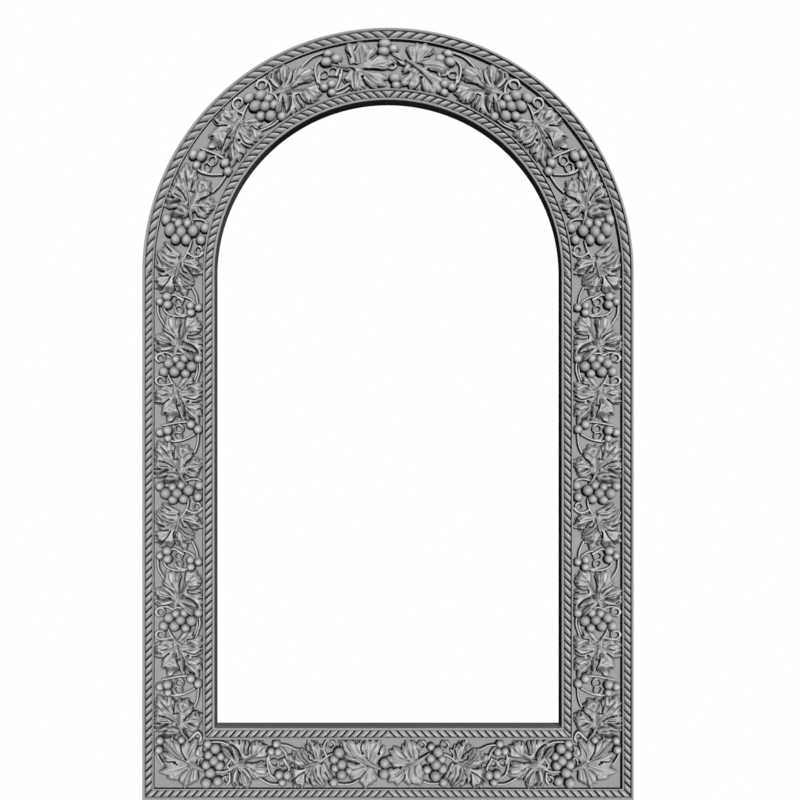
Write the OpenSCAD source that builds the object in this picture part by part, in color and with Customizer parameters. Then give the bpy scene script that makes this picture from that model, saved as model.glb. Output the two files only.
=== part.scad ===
// Arched picture frame for an icon: cable mouldings around a band of carved vine.
// The origin is the centre of the hanger's round hole, on the back face of the boards.
// X runs to the right, Z up, and the front faces -Y.

/* [Frame] */
// Overall width, and twice the radius of the arch's outer edge
frame_w = 320; // [300:5:340]
// Height of the straight sides, from the bottom edge to the springline
straight_h = 343; // [320:1:370]
// Width of the border, from the outer edge to the sight edge
band_w = 47; // [44:0.5:50]

/* [Boards] */
// Thickness of the core boards
board_t = 14.5; // [13.5:0.5:17]
// Depth of the rebate that the icon panel sits in, from the back
rebate_d = 8; // [6:0.5:9]
// Width of the rebate's ledge
rebate_w = 7; // [5:0.5:8]
// Thickness of the loose tongues in the board joints
tongue_t = 3; // [2.5:0.5:3.5]
// Length of a tongue across its joint
tongue_l = 18; // [14:1:22]
// Width of a tongue along its joint
tongue_w = 24; // [18:1:26]

/* [Cable mouldings] */
// Width of each moulding strip
strip_w = 7.4; // [7:0.1:8]
// Height of the plain outer edge of a strip above the boards
strip_t = 5.5; // [5:0.1:6]
// Width of the flat listel along the outer or sight edge
listel_w = 1.4; // [1:0.1:1.8]
// Radius of the half-round cable
cable_r = 2.3; // [2.1:0.1:2.4]
// Width of the thin fillet beside the carving
fillet_w = 0.8; // [0.6:0.1:1]
// Depth of the channels beside the cable, below the listel
channel_d = 2.4; // [2:0.1:2.8]

/* [Vine frieze] */
// Thickness of the frieze's plain ground
ground_t = 2.5; // [2.2:0.1:3]
// Rise of a leaf above the ground
leaf_rise = 2.2; // [1.8:0.1:2.6]
// Rise of a stalk or tendril above the ground
stem_rise = 1.5; // [1.2:0.1:1.8]
// Width of a stalk or tendril
stem_w = 1.7; // [1.4:0.1:2]

/* [Turn buttons] */
// Length of a turn button
button_l = 36; // [34:1:37]
// Width of a turn button
button_w = 11; // [9:0.5:12]
// Thickness of a turn button
button_t = 1.6; // [1.2:0.1:2]
// Radius of the screw shank that a button turns on
screw_r = 1.6; // [1.4:0.1:1.8]
// Radius of the pan head
head_r = 3.4; // [3:0.1:3.8]
// Height of the pan head
head_t = 1.8; // [1.5:0.1:2]
// Length of the screw in the wood
screw_l = 11; // [9:0.5:12]
// Distance of a button's screw from the ledge's outer side
button_setback = 12; // [11.5:0.5:14]

/* [Hanger and bumpers] */
// Distance of the hanger's round hole from the top edge
hanger_drop = 18; // [17:0.5:20]
// Length of the hanger plate
hanger_l = 40; // [38:1:44]
// Height of the hanger plate
hanger_h = 20; // [19:0.5:22]
// Thickness of the hanger plate
hanger_t = 1.5; // [1.2:0.1:1.8]
// Radius of the round hole that a nail or screw head goes through
keyhole_r = 4.5; // [4:0.1:5]
// Width of the slot above the round hole
keyslot_w = 4.2; // [3.6:0.1:4.4]
// Depth of the pocket in the wood behind the hanger
pocket_d = 5; // [4:0.5:6]
// Radius of a wall bumper
bumper_r = 6; // [5:0.5:7]
// Thickness of a wall bumper
bumper_t = 5; // [4.6:0.1:6]

/* [Hidden] */

$fn = 64;
// Overrun of cuts past a face
over = 1;
// Hole left beyond a screw's tip
tip_gap = 1;
// Clearance of a tongue in its slot
tongue_gap = 0.1;
// Radial clearance of a screw in its hole
screw_gap = 0.05;
// Gap of a turn button to the board under it and to the head over it
button_gap = 0.3;

outer_r = frame_w / 2;
sight_r = outer_r - band_w;
arch_z = hanger_drop - outer_r;
bottom_z = arch_z - straight_h;
ground_y = -board_t - ground_t;
// Length of a quarter of the arch, and of a whole side, along the sight edge
arc_len = sight_r * PI / 2;
side_len = arc_len + straight_h - band_w;

// The carving is laid out in the photograph's pixels, with the border this wide
band_px = 72.4;
// From the crown to the middle of the first link, along the sight edge
crown_px = 50.4;
// From the middle of a link to the frieze's joint beside it
joint_px = 10.8;
// From the crown to the inner corner, along the sight edge
side_px = 727;
// From the centre of the bottom rail to its inner corner, and to the middle of its link
sight_px = 173.6;
rail_px = 110.3;
// From the outer corner up to the middle of the side's last link
leg_side_px = 112.8;
// Half repeats of the vine between the first link and the last, and the length of one
vines = 5;
half_px = (side_px + band_px - leg_side_px - crown_px) / vines;
px = band_w / band_px;
side_scale = side_len / side_px;
rail_scale = sight_r / sight_px;

// Point of the left side: c runs from the crown along the sight edge, t from the outer edge inward
function turn(c) = c / sight_r * 180 / PI;
function side_point(c, t) = c < arc_len
    ? [-(outer_r - t) * sin(turn(c)), arch_z + (outer_r - t) * cos(turn(c))]
    : [-(outer_r - t), arch_z - c + arc_len];

// Places of grapes and berries, in pixels: along the vine, across it, radius.
// Vine A runs from one link to the next with its grapes between a pair of leaves.
grapes_a_px = [
    [57.7, 26.5, 5.3], [65.7, 21.5, 5], [53.7, 33.5, 4.5], [65.7, 32, 5.6], [59.7, 38, 5.4],
    [52.7, 42, 4.7], [67.7, 43, 4.8], [60.7, 49, 5.5], [52.7, 56, 4.7],
    [118.7, 48.5, 4.7], [123.7, 55.5, 4.6], [124.7, 25, 4.9], [126.7, 17.5, 4.5], [132.7, 25.5, 4]
];
// Vine B is the other half of the repeat
grapes_b_px = [
    [53.4, 17.5, 4.7], [60.4, 23.5, 5.7], [54.4, 30, 4.5], [66.4, 30.5, 5], [60.4, 34.5, 5.6],
    [52.4, 39, 4.5], [65.9, 41, 5], [57.4, 46, 5.5], [52.4, 55.8, 4.9], [63.9, 55.5, 4.8],
    [122.9, 17.5, 4.2], [117.9, 24.5, 4.6], [125.9, 25, 4.8], [126.9, 48, 4.5],
    [129, 56, 4.2], [133.8, 48.5, 4.2]
];
// Rings of the tendrils: along, across, radius
rings_a_px = [[51.7, 18, 5], [74.7, 18, 5.2], [122.7, 36.5, 4.3], [129.7, 35.5, 4.3]];
rings_b_px = [[73.4, 54.5, 4.8], [122.9, 36, 4.3], [131, 36.5, 4.3]];
// Lobes of the leaves: base along and across, tip along and across, half width
leaf_p_px = [
    [43, 34, 32, 12.5, 6], [45, 33, 44, 12.5, 4], [41, 35, 19, 20, 5], [40, 36, 10, 29, 7],
    [41, 37, 12, 53, 8.5], [41, 39, 34, 60, 6], [42, 37, 48, 60, 7]
];
leaf_q_px = [
    [84, 34, 90, 12.5, 8.5], [86, 34, 115, 28, 9], [87, 36, 115, 53, 9], [87, 36, 88, 60, 8],
    [85, 34, 73, 52, 6]
];
leaf_r_px = [
    [37, 35, 39, 12.5, 9], [36, 35, 10, 20, 9], [36, 37, 13, 43, 9], [38, 39, 29, 60, 8],
    [42, 40, 45, 60, 4], [46, 40, 42, 24, 4]
];
leaf_t_px = [
    [82, 37, 74, 17, 6], [83, 37, 91, 12.5, 9], [85, 36, 114, 20, 8.5], [85, 37, 115, 42, 8],
    [84, 38, 108, 50, 5], [82, 38, 93, 60, 9]
];
// Stalks: start along and across, end along and across
stems_a_px = [[42, 37, 60, 28], [62, 26, 84, 34], [119, 22, 119, 44], [133, 28, 129, 52]];
stems_b_px = [[40, 38, 56, 45], [66, 46, 84, 37], [117, 28, 119, 50], [129, 20, 136, 42]];

// The crown, with the left side at positive distances from the centre line
grapes_crown_px = [
    [2.5, 16.7, 5], [3.4, 23, 5], [-4, 20.5, 4.3], [-5.9, 50, 5.3], [-7.4, 56.2, 4.4],
    [45.9, 17, 5], [39.9, 24, 4.3], [47.9, 24.5, 5.8], [48.9, 46, 5.2], [51.9, 55.5, 4.8],
    [56.8, 47.5, 4], [-46.5, 17, 4.7], [-48.5, 24.5, 5.2], [-48, 46, 4.3], [-51, 55.5, 4.8],
    [-56.8, 47.5, 4]
];
leaf_crown_px = [
    [28, 37, 22, 12.5, 6], [30, 36, 29.5, 12.5, 4], [30, 37, -4, 35, 8], [28, 38, 8, 55, 9],
    [29, 38, 32, 60, 6], [31, 38, 38, 47, 6], [-20, 34, -25, 13, 7], [-22, 34, -46, 24, 7],
    [-22, 35, -49, 34, 5], [-22, 36, -46, 58, 9], [-21, 36, -22, 60, 8], [-18, 35, -9, 50, 6]
];
stems_crown_px = [[29, 37, 46, 27], [-4, 25, -21, 35], [38, 56, 50, 58]];
rings_crown_px = [[44.9, 36, 4.6], [53.4, 37, 4.6], [-2.5, 36, 5], [-53.4, 37, 4.6]];

// The bottom rail's middle, with the left side at positive distances from the centre line
grapes_rail_px = [
    [4, 26, 5.5], [3.5, 37, 5.3], [54.5, 17.5, 4.7], [46.5, 25.5, 5.5], [38.5, 29.5, 4.5],
    [46.5, 35.5, 5.3], [54, 31, 5], [53, 41, 5], [49, 47.5, 5.5], [106, 18, 4.3],
    [100.5, 26, 4.5], [108.5, 26.5, 5], [109.5, 48, 4.7], [116.8, 50, 4], [112, 56.3, 4.2],
    [-48, 24, 5.7], [-39, 30, 4.5],
    [-54.5, 31, 5], [-48, 36, 5.6], [-43, 41, 5], [-54, 41, 4.5], [-50, 48, 5.5],
    [-43, 52.5, 4], [-55.5, 17.5, 4.7], [-106, 18, 4.3], [-100.5, 26, 4.5], [-108.5, 26.5, 5],
    [-109.5, 48, 4.7], [-116.8, 50, 4], [-112, 56.3, 4.2]
];
leaf_rail_px = [
    [17, 34, 23, 13, 8], [19, 34, 42, 26, 7], [20, 36, 45, 44, 6], [20, 37, 46, 58, 8],
    [18, 37, 19, 60, 8], [67, 37, 60, 18, 6], [69, 37, 77, 13, 9], [71, 36, 98, 21, 8.5],
    [71, 37, 99, 42, 8], [70, 38, 92, 50, 5], [68, 38, 78, 60, 9], [-25, 36, -22, 13, 9],
    [-28, 36, -35, 15, 5], [-24, 35, 0, 20, 9], [-23, 37, -2, 47, 8], [-26, 39, -20, 60, 8],
    [-67, 37, -60, 18, 6], [-69, 37, -77, 13, 9], [-71, 36, -98, 21, 8.5],
    [-71, 37, -99, 42, 8], [-70, 38, -92, 50, 5], [-68, 38, -78, 60, 9]
];
stems_rail_px = [[6, 31, 18, 36], [54, 46, 68, 37], [-27, 37, -42, 46], [-54, 46, -68, 37]];
rings_rail_px = [
    [57, 55, 4.8], [105.5, 36.5, 4.4], [114, 38, 4.4], [-57, 55, 4.8], [-34, 55, 4.8],
    [-105.5, 36.5, 4.4], [-114, 38, 4.4]
];

// The corner, in pixels from the outer corner: inward along the rail, then up
grapes_corner_px = [
    [17.5, 59.4, 4.1], [16.8, 50, 4.1], [38.8, 60, 3.8], [65.5, 56, 4.5], [73, 50.7, 5.4],
    [66.3, 45.3, 4.5], [79, 43.4, 4.1], [72, 39.3, 5.4], [65, 35, 5.1], [77.4, 33.8, 5.1],
    [68.8, 27, 5.4], [64.4, 17.3, 5.4], [75.8, 18.5, 5.1]
];
leaf_corner_px = [
    [45, 38, 20, 57, 7], [47, 39, 34, 60, 6], [50, 40, 55, 60, 6], [46, 34, 17, 30, 8],
    [49, 33, 40, 12.5, 9], [54, 34, 57, 14, 6]
];
stems_corner_px = [[47, 36, 64, 29]];
rings_corner_px = [[84.4, 19.8, 4.4]];

// A lobe's half outline: shares of its length and of its half width, with two teeth a side
lobe_shares = [
    [0, 0.45], [0.3, 0.7], [0.6, 1], [0.68, 0.74], [0.86, 0.66], [0.9, 0.34], [1, 0]
];
// Depth that a grape is sunk into the ground, as a share of the ground's thickness
sink_share = 0.9;
// Wall of a tendril's ring, as a share of the stem's width
ring_share = 0.8;

// Plan shapes

module arch_plan(inset)
{
    translate([0, arch_z]) circle(outer_r - inset, $fn = 180);
    translate([-outer_r + inset, bottom_z + inset])
        square([frame_w - 2 * inset, straight_h - inset]);
}

module border_plan(from, to)
{
    difference() {
        arch_plan(from);
        arch_plan(to);
    }
}

// The left stile's part of the plan: mitred at the bottom, square at the springline
module left_side_region()
{
    polygon([
        [-outer_r, bottom_z], [-outer_r + band_w + over, bottom_z + band_w + over],
        [-outer_r + band_w + over, arch_z], [-outer_r - over, arch_z], [-outer_r - over, bottom_z - over]
    ]);
}

// The left half of the bottom rail, mitred at the corner
module left_bottom_region()
{
    polygon([
        [-outer_r, bottom_z], [-outer_r + band_w + over, bottom_z + band_w + over],
        [0, bottom_z + band_w + over], [0, bottom_z - over], [-outer_r - over, bottom_z - over]
    ]);
}

// How far a cutting region reaches past what it cuts, as a share of its size
reach_share = 1.5;

// Wedge of the arch between two angles from the upright, positive to the left
module wedge_region(from, to)
{
    reach = outer_r * reach_share;
    middle = (from + to) / 2;
    translate([0, arch_z])
        polygon([
            [0, 0], [-reach * sin(from), reach * cos(from)],
            [-reach * sin(middle), reach * cos(middle)], [-reach * sin(to), reach * cos(to)]
        ]);
}

// Raises a plan shape towards the front, from a depth behind to a height in front
module raise(back_y, height)
{
    translate([0, back_y, 0]) rotate([90, 0, 0]) linear_extrude(height) children();
}

module mirror_side()
{
    mirror([1, 0, 0]) children();
}

// Core boards

arch_split = 30;

module tongue_plan(gap)
{
    square([tongue_l + 2 * gap, tongue_w + 2 * gap], center = true);
}

// A tongue across each kind of joint, as a plan shape
module corner_tongue_plan(gap)
{
    translate([-outer_r + band_w / 2 - rebate_w / 2, bottom_z + band_w / 2 - rebate_w / 2])
        rotate(-45)
            tongue_plan(gap);
}

module springing_tongue_plan(gap)
{
    translate([-outer_r + band_w / 2 - rebate_w / 2, arch_z]) rotate(90) tongue_plan(gap);
}

module arch_tongue_plan(gap)
{
    translate([0, arch_z])
        rotate(arch_split)
            translate([0, outer_r - band_w / 2 + rebate_w / 2])
                tongue_plan(gap);
}

module both_sides()
{
    children();
    mirror([1, 0]) children();
}

tongue_y = -(rebate_d + board_t) / 2 + tongue_t / 2;

module tongue_slots()
{
    raise(tongue_y + tongue_gap, tongue_t + 2 * tongue_gap) {
        both_sides() corner_tongue_plan(tongue_gap);
        both_sides() springing_tongue_plan(tongue_gap);
        both_sides() arch_tongue_plan(tongue_gap);
    }
}

// Places of the turn buttons on the left: plan point and the angle of the member there
button_arch_deg = 46;
button_off = band_w - rebate_w - button_setback;
button_stile_share = 0.48;
button_rail_share = 0.5;
button_stile_z = arch_z - (straight_h - band_w) * button_stile_share;
button_arch_at = [
    -(outer_r - button_off) * sin(button_arch_deg),
    arch_z + (outer_r - button_off) * cos(button_arch_deg)
];
button_stile_at = [-outer_r + button_off, button_stile_z];
button_rail_at = [-sight_r * button_rail_share, bottom_z + button_off];

module button_places()
{
    both_sides() {
        translate(button_arch_at) children();
        translate(button_stile_at) children();
        translate(button_rail_at) children();
    }
}

module screw_holes()
{
    raise(over, screw_l + over) {
        button_places() circle(screw_r + screw_gap);
        both_sides() translate([hanger_screw_x, hanger_mid_z]) circle(screw_r + screw_gap);
    }
}

module board(region_from)
{
    difference() {
        raise(0, board_t)
            intersection() {
                border_plan(0, band_w);
                children();
            }
        raise(over, rebate_d + over) border_plan(band_w - rebate_w, band_w + over);
        tongue_slots();
        screw_holes();
    }
}

module left_stile()
{
    color("darkgray") board() left_side_region();
}

module right_stile()
{
    color("darkgray") mirror_side() board() left_side_region();
}

module bottom_rail()
{
    color("darkgray")
        board()
            both_sides() left_bottom_region();
}

module arch_left()
{
    color("darkgray") board() wedge_region(arch_split, 90);
}

module arch_right()
{
    color("darkgray") mirror_side() board() wedge_region(arch_split, 90);
}

// Depth of the pocket leaves the head of a nail free to slide up behind the plate
pocket_gap = 2;
// Plate below the round hole, and beyond a screw's head at its end
hanger_tail = 3;
plate_margin = 1;
hanger_low = keyhole_r + hanger_tail;
hanger_mid_z = hanger_h / 2 - hanger_low;
hanger_screw_x = hanger_l / 2 - head_r - plate_margin;
keyslot_h = hanger_h - hanger_low - keyhole_r;

module arch_crown()
{
    color("darkgray")
        difference() {
            board() wedge_region(-arch_split, arch_split);
            raise(over, pocket_d + over)
                translate([-keyhole_r - pocket_gap, -keyhole_r - over])
                    square([2 * (keyhole_r + pocket_gap), 2 * keyhole_r + over + keyslot_h]);
        }
}

module corner_tongues()
{
    color("burlywood") raise(tongue_y, tongue_t) both_sides() corner_tongue_plan(0);
}

module springing_tongues()
{
    color("burlywood") raise(tongue_y, tongue_t) both_sides() springing_tongue_plan(0);
}

module arch_tongues()
{
    color("burlywood") raise(tongue_y, tongue_t) both_sides() arch_tongue_plan(0);
}

// Cable mouldings: section with its plain listel at t = 0 and its thin fillet at t = strip_w

cable_mid = (listel_w + strip_w - fillet_w) / 2;

module strip_section()
{
    square([strip_w, strip_t - channel_d]);
    square([listel_w, strip_t]);
    translate([strip_w - fillet_w, 0]) square([fillet_w, strip_t]);
    intersection() {
        translate([cable_mid, strip_t - cable_r]) circle(cable_r);
        square([strip_w, strip_t]);
    }
}

// The section at its distance from the outer edge; the inner strip is turned end for end
module outer_section()
{
    strip_section();
}

module inner_section()
{
    translate([band_w, 0]) mirror([1, 0]) strip_section();
}

// Straight run along the left edge, standing on the boards
module side_strip()
{
    translate([-outer_r, -board_t, bottom_z])
        linear_extrude(straight_h)
            mirror([0, 1])
                children();
}

module bottom_strip()
{
    translate([0, 0, bottom_z + outer_r])
        rotate([0, -90, 0])
            translate([-outer_r, -board_t, 0])
                linear_extrude(outer_r)
                    mirror([0, 1])
                        children();
}

module arch_strip()
{
    translate([0, -board_t, arch_z])
        rotate([90, 0, 0])
            rotate([0, 0, 90])
                rotate_extrude(angle = 90, $fn = 180)
                    translate([outer_r, 0])
                        mirror([1, 0])
                            children();
}

module side_cut()
{
    raise(0, board_t + strip_t + over) left_side_region();
}

module bottom_cut()
{
    raise(0, board_t + strip_t + over) left_bottom_region();
}

module outer_cable_left()
{
    color("lightgray") intersection() { side_strip() outer_section(); side_cut(); }
}

module outer_cable_right()
{
    mirror_side() outer_cable_left();
}

module inner_cable_left()
{
    color("lightgray") intersection() { side_strip() inner_section(); side_cut(); }
}

module inner_cable_right()
{
    mirror_side() inner_cable_left();
}

module outer_cable_arch_left()
{
    color("lightgray") arch_strip() outer_section();
}

module outer_cable_arch_right()
{
    mirror_side() outer_cable_arch_left();
}

module inner_cable_arch_left()
{
    color("lightgray") arch_strip() inner_section();
}

module inner_cable_arch_right()
{
    mirror_side() inner_cable_arch_left();
}

module outer_cable_bottom_left()
{
    color("lightgray") intersection() { bottom_strip() outer_section(); bottom_cut(); }
}

module outer_cable_bottom_right()
{
    mirror_side() outer_cable_bottom_left();
}

module inner_cable_bottom_left()
{
    color("lightgray") intersection() { bottom_strip() inner_section(); bottom_cut(); }
}

module inner_cable_bottom_right()
{
    mirror_side() inner_cable_bottom_left();
}

// Vine frieze: a thin ground with leaves, grapes and tendrils standing on it.
// Each kind of piece has a function that takes a place in pixels to a plan point.

// kind 0: side piece starting at joint number n; 1: crown; 2: bottom rail; 3: corner
function place(kind, n, p) =
    kind == 0 ? side_point((crown_px + n * half_px + p[0]) * side_scale, p[1] * px) :
    kind == 1 ? crown_point(p[0] * side_scale, p[1] * px) :
    kind == 2 ? [-p[0] * rail_scale, bottom_z + p[1] * px] :
    [-outer_r + p[0] * px, bottom_z + p[1] * px];
function crown_point(c, t) =
    [-(outer_r - t) * sin(turn(c)), arch_z + (outer_r - t) * cos(turn(c))];

// Point of a lobe at a share of its length and of its half width
function lobe_point(lobe, along, across) =
    let (run = [lobe[2] - lobe[0], lobe[3] - lobe[1]])
    let (side = [-run[1], run[0]] / norm(run))
    [lobe[0], lobe[1]] + run * along + side * lobe[4] * across;

function lobe_outline(lobe) = concat(
    [for (s = lobe_shares) lobe_point(lobe, s[0], s[1])],
    [for (i = [len(lobe_shares) - 2 : -1 : 0]) lobe_point(lobe, lobe_shares[i][0], -lobe_shares[i][1])]
);

function stem_outline(stem) =
    let (run = [stem[2] - stem[0], stem[3] - stem[1]])
    let (side = [-run[1], run[0]] / norm(run) * stem_w / px / 2)
    [
        [stem[0], stem[1]] - side, [stem[2], stem[3]] - side,
        [stem[2], stem[3]] + side, [stem[0], stem[1]] + side
    ];

// The flat carving is cut to the piece's own plan, which is the child
module carving(kind, n, lobes, stems, rings)
{
    raise(ground_y, leaf_rise)
        intersection() {
            for (lobe = lobes)
                polygon([for (p = lobe_outline(lobe)) place(kind, n, p)]);
            children();
        }
    raise(ground_y, stem_rise)
        intersection() {
            union() {
                for (stem = stems)
                    polygon([for (p = stem_outline(stem)) place(kind, n, p)]);
                for (ring = rings)
                    translate(place(kind, n, ring))
                        difference() {
                            circle(ring[2] * px);
                            circle(ring[2] * px - stem_w * ring_share);
                        }
            }
            children();
        }
}

module grapes(kind, n, places)
{
    for (grape = places)
        let (at = place(kind, n, grape))
            translate([at[0], ground_y - grape[2] * px + ground_t * sink_share, at[1]])
                rotate([90, 0, 0])
                    sphere(grape[2] * px, $fn = 24);
}

// The space that a piece of frieze may fill, in plan
module frieze_plan()
{
    intersection() {
        border_plan(strip_w, band_w - strip_w);
        children();
    }
}

// Region of the border between two distances from the crown
region_steps = 6;

module side_region(from, to)
{
    ends = [for (i = [0 : region_steps]) from + (to - from) * i / region_steps];
    polygon(concat(
        [for (c = ends) side_point(c, band_w * (1 - reach_share))],
        [for (i = [region_steps : -1 : 0]) side_point(ends[i], band_w * reach_share)]
    ));
}

module frieze(kind, n, lobes, stems, rings, berries)
{
    color("silver") {
        raise(-board_t, ground_t) frieze_plan() children();
        carving(kind, n, lobes, stems, rings) frieze_plan() children();
        grapes(kind, n, berries);
    }
}

function joint_at(n) = (crown_px + joint_px + n * half_px) * side_scale;

module side_frieze(n)
{
    if (n % 2 == 0)
        frieze(0, n, concat(leaf_p_px, leaf_q_px), stems_a_px, rings_a_px, grapes_a_px)
            side_region(joint_at(n), joint_at(n + 1));
    else
        frieze(0, n, concat(leaf_r_px, leaf_t_px), stems_b_px, rings_b_px, grapes_b_px)
            side_region(joint_at(n), joint_at(n + 1));
}

module crown_frieze()
{
    frieze(1, 0, leaf_crown_px, stems_crown_px, rings_crown_px, grapes_crown_px)
        wedge_region(-turn(joint_at(0)), turn(joint_at(0)));
}

module arch_frieze_left() { side_frieze(0); }
module arch_frieze_right() { mirror_side() side_frieze(0); }
module shoulder_frieze_left() { side_frieze(1); }
module shoulder_frieze_right() { mirror_side() side_frieze(1); }
module upper_frieze_left() { side_frieze(2); }
module upper_frieze_right() { mirror_side() side_frieze(2); }
module middle_frieze_left() { side_frieze(3); }
module middle_frieze_right() { mirror_side() side_frieze(3); }
module lower_frieze_left() { side_frieze(4); }
module lower_frieze_right() { mirror_side() side_frieze(4); }

// The side's last leaf and the rail's first one, as seen from the corner
leg_rail_px = band_px + sight_px - rail_px;
corner_side_leaf_px = [for (l = leaf_r_px) [l[1], leg_side_px - l[0], l[3], leg_side_px - l[2], l[4]]];
corner_rail_leaf_px = [for (l = leaf_p_px) [leg_rail_px - l[0], l[1], leg_rail_px - l[2], l[3], l[4]]];

module corner_region()
{
    far = band_w * reach_share;
    top = joint_at(vines);
    leg = (rail_px + joint_px) * rail_scale;
    polygon([
        [-outer_r - over, bottom_z - over], [-leg, bottom_z - over], [-leg, bottom_z + far],
        [-outer_r + far, bottom_z + far], [-outer_r + far, side_point(top, 0)[1]],
        [-outer_r - over, side_point(top, 0)[1]]
    ]);
}

module corner_frieze_left()
{
    frieze(
        3, 0, concat(leaf_corner_px, corner_side_leaf_px, corner_rail_leaf_px),
        stems_corner_px, rings_corner_px, grapes_corner_px
    )
        corner_region();
}

module corner_frieze_right()
{
    mirror_side() corner_frieze_left();
}

module bottom_frieze()
{
    leg = (rail_px + joint_px) * rail_scale;
    frieze(2, 0, leaf_rail_px, stems_rail_px, rings_rail_px, grapes_rail_px)
        translate([-leg, bottom_z - over]) square([2 * leg, band_w * reach_share]);
}

// Turn buttons, their screws, the hanger and the bumpers, on the back

module back_plate(thickness)
{
    translate([0, thickness, 0]) raise(0, thickness) children();
}

// A button lies along its member at rest, clear of the rebate
module turn_button(at, angle)
{
    straight = button_l - button_w;
    color("dimgray")
        translate([at[0], button_gap, at[1]])
            rotate([0, -angle, 0])
                back_plate(button_t)
                    difference() {
                        union() {
                            square([button_w, straight], center = true);
                            translate([0, straight / 2]) circle(button_w / 2);
                            translate([0, -straight / 2]) circle(button_w / 2);
                        }
                        circle(screw_r + screw_gap);
                    }
}

module turn_button_arch_left() { turn_button(button_arch_at, button_arch_deg - 90); }
module turn_button_arch_right() { mirror_side() turn_button_arch_left(); }
module turn_button_stile_left() { turn_button(button_stile_at, 0); }
module turn_button_stile_right() { mirror_side() turn_button_stile_left(); }
module turn_button_bottom_left() { turn_button(button_rail_at, 90); }
module turn_button_bottom_right() { mirror_side() turn_button_bottom_left(); }

module pan_screw(under_head)
{
    translate([0, under_head, 0]) raise(0, screw_l + under_head - tip_gap) circle(screw_r);
    translate([0, under_head + head_t, 0]) raise(0, head_t) circle(head_r);
}

module turn_button_screws()
{
    color("silver")
        for (at = [button_arch_at, button_stile_at, button_rail_at])
            for (side = [1, -1])
                translate([side * at[0], 0, at[1]]) pan_screw(button_t + 2 * button_gap);
}

module hanger_plate()
{
    color("silver")
        back_plate(hanger_t)
            difference() {
                translate([-hanger_l / 2, -hanger_low]) square([hanger_l, hanger_h]);
                circle(keyhole_r);
                translate([-keyslot_w / 2, 0]) square([keyslot_w, keyslot_h]);
                translate([0, keyslot_h]) circle(keyslot_w / 2);
                both_sides() translate([hanger_screw_x, hanger_mid_z]) circle(screw_r + screw_gap);
            }
}

module hanger_screws()
{
    color("silver")
        for (side = [1, -1])
            translate([side * hanger_screw_x, 0, hanger_mid_z]) pan_screw(hanger_t);
}

bumper_inset = band_w / 2 - rebate_w / 2;
bumper_top_share = 0.16;

module wall_bumpers()
{
    color("black")
        back_plate(bumper_t)
            both_sides()
                for (z = [bottom_z + bumper_inset, arch_z - straight_h * bumper_top_share])
                    translate([-outer_r + bumper_inset, z]) circle(bumper_r);
}

left_stile();
right_stile();
bottom_rail();
arch_left();
arch_crown();
arch_right();
corner_tongues();
springing_tongues();
arch_tongues();
outer_cable_left();
outer_cable_right();
outer_cable_arch_left();
outer_cable_arch_right();
outer_cable_bottom_left();
outer_cable_bottom_right();
inner_cable_left();
inner_cable_right();
inner_cable_arch_left();
inner_cable_arch_right();
inner_cable_bottom_left();
inner_cable_bottom_right();
crown_frieze();
arch_frieze_left();
arch_frieze_right();
shoulder_frieze_left();
shoulder_frieze_right();
upper_frieze_left();
upper_frieze_right();
middle_frieze_left();
middle_frieze_right();
lower_frieze_left();
lower_frieze_right();
corner_frieze_left();
corner_frieze_right();
bottom_frieze();
turn_button_arch_left();
turn_button_arch_right();
turn_button_stile_left();
turn_button_stile_right();
turn_button_bottom_left();
turn_button_bottom_right();
turn_button_screws();
hanger_plate();
hanger_screws();
wall_bumpers();
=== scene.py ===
import math

import bmesh
import bpy
import numpy as np
from mathutils import Matrix, Vector


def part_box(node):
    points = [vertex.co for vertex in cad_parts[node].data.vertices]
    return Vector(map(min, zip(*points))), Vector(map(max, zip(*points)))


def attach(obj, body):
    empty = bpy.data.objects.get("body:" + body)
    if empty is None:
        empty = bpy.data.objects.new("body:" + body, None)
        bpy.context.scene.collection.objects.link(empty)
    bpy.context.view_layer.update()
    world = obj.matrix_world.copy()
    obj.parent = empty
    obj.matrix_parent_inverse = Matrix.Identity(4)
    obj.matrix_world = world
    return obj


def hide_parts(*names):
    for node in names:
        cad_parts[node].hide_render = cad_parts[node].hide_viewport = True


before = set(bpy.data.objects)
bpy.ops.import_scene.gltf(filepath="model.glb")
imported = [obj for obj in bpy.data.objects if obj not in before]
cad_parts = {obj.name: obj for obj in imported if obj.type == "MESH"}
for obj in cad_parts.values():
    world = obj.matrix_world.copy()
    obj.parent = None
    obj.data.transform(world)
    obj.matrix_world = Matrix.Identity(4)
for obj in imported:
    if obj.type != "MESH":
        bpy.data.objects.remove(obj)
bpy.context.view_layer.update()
mm = 0.001


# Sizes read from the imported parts, in millimetres

def boxMm(node):
    low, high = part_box(node)
    return [v / mm for v in low], [v / mm for v in high]


stileLow, stileHigh = boxMm("left_stile")
cableLow, cableHigh = boxMm("outer_cable_left")
outerR = -stileLow[0]                  # half the width, and the arch's outer radius
bandW = stileHigh[0] - stileLow[0]     # border, from the outer edge to the sight edge
sightR = outerR - bandW
archZ = stileHigh[2]                   # springline
bottomZ = stileLow[2]
topZ = boxMm("arch_crown")[1][2]
boardY = stileLow[1]                   # front face of the core boards
listelY = cableLow[1]                  # front of the mouldings
stripW = cableHigh[0] - cableLow[0]
arcLen = sightR * math.pi / 2          # quarter of the arch, along the sight edge
straight = archZ - bottomZ
sideLen = arcLen + straight - bandW
print("sizes read: %.0f mm wide, %.0f mm high" % (2 * outerR, topZ - bottomZ))


# Pieces and materials

def finishPiece(name, mesh, material, body, nodes):
    mesh.materials.append(material)
    piece = bpy.data.objects.new(name, mesh)
    bpy.context.scene.collection.objects.link(piece)
    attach(piece, body)
    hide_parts(*nodes)


def toMesh(name, bm):
    mesh = bpy.data.meshes.new(name)
    bm.to_mesh(mesh)
    bm.free()
    return mesh


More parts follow.
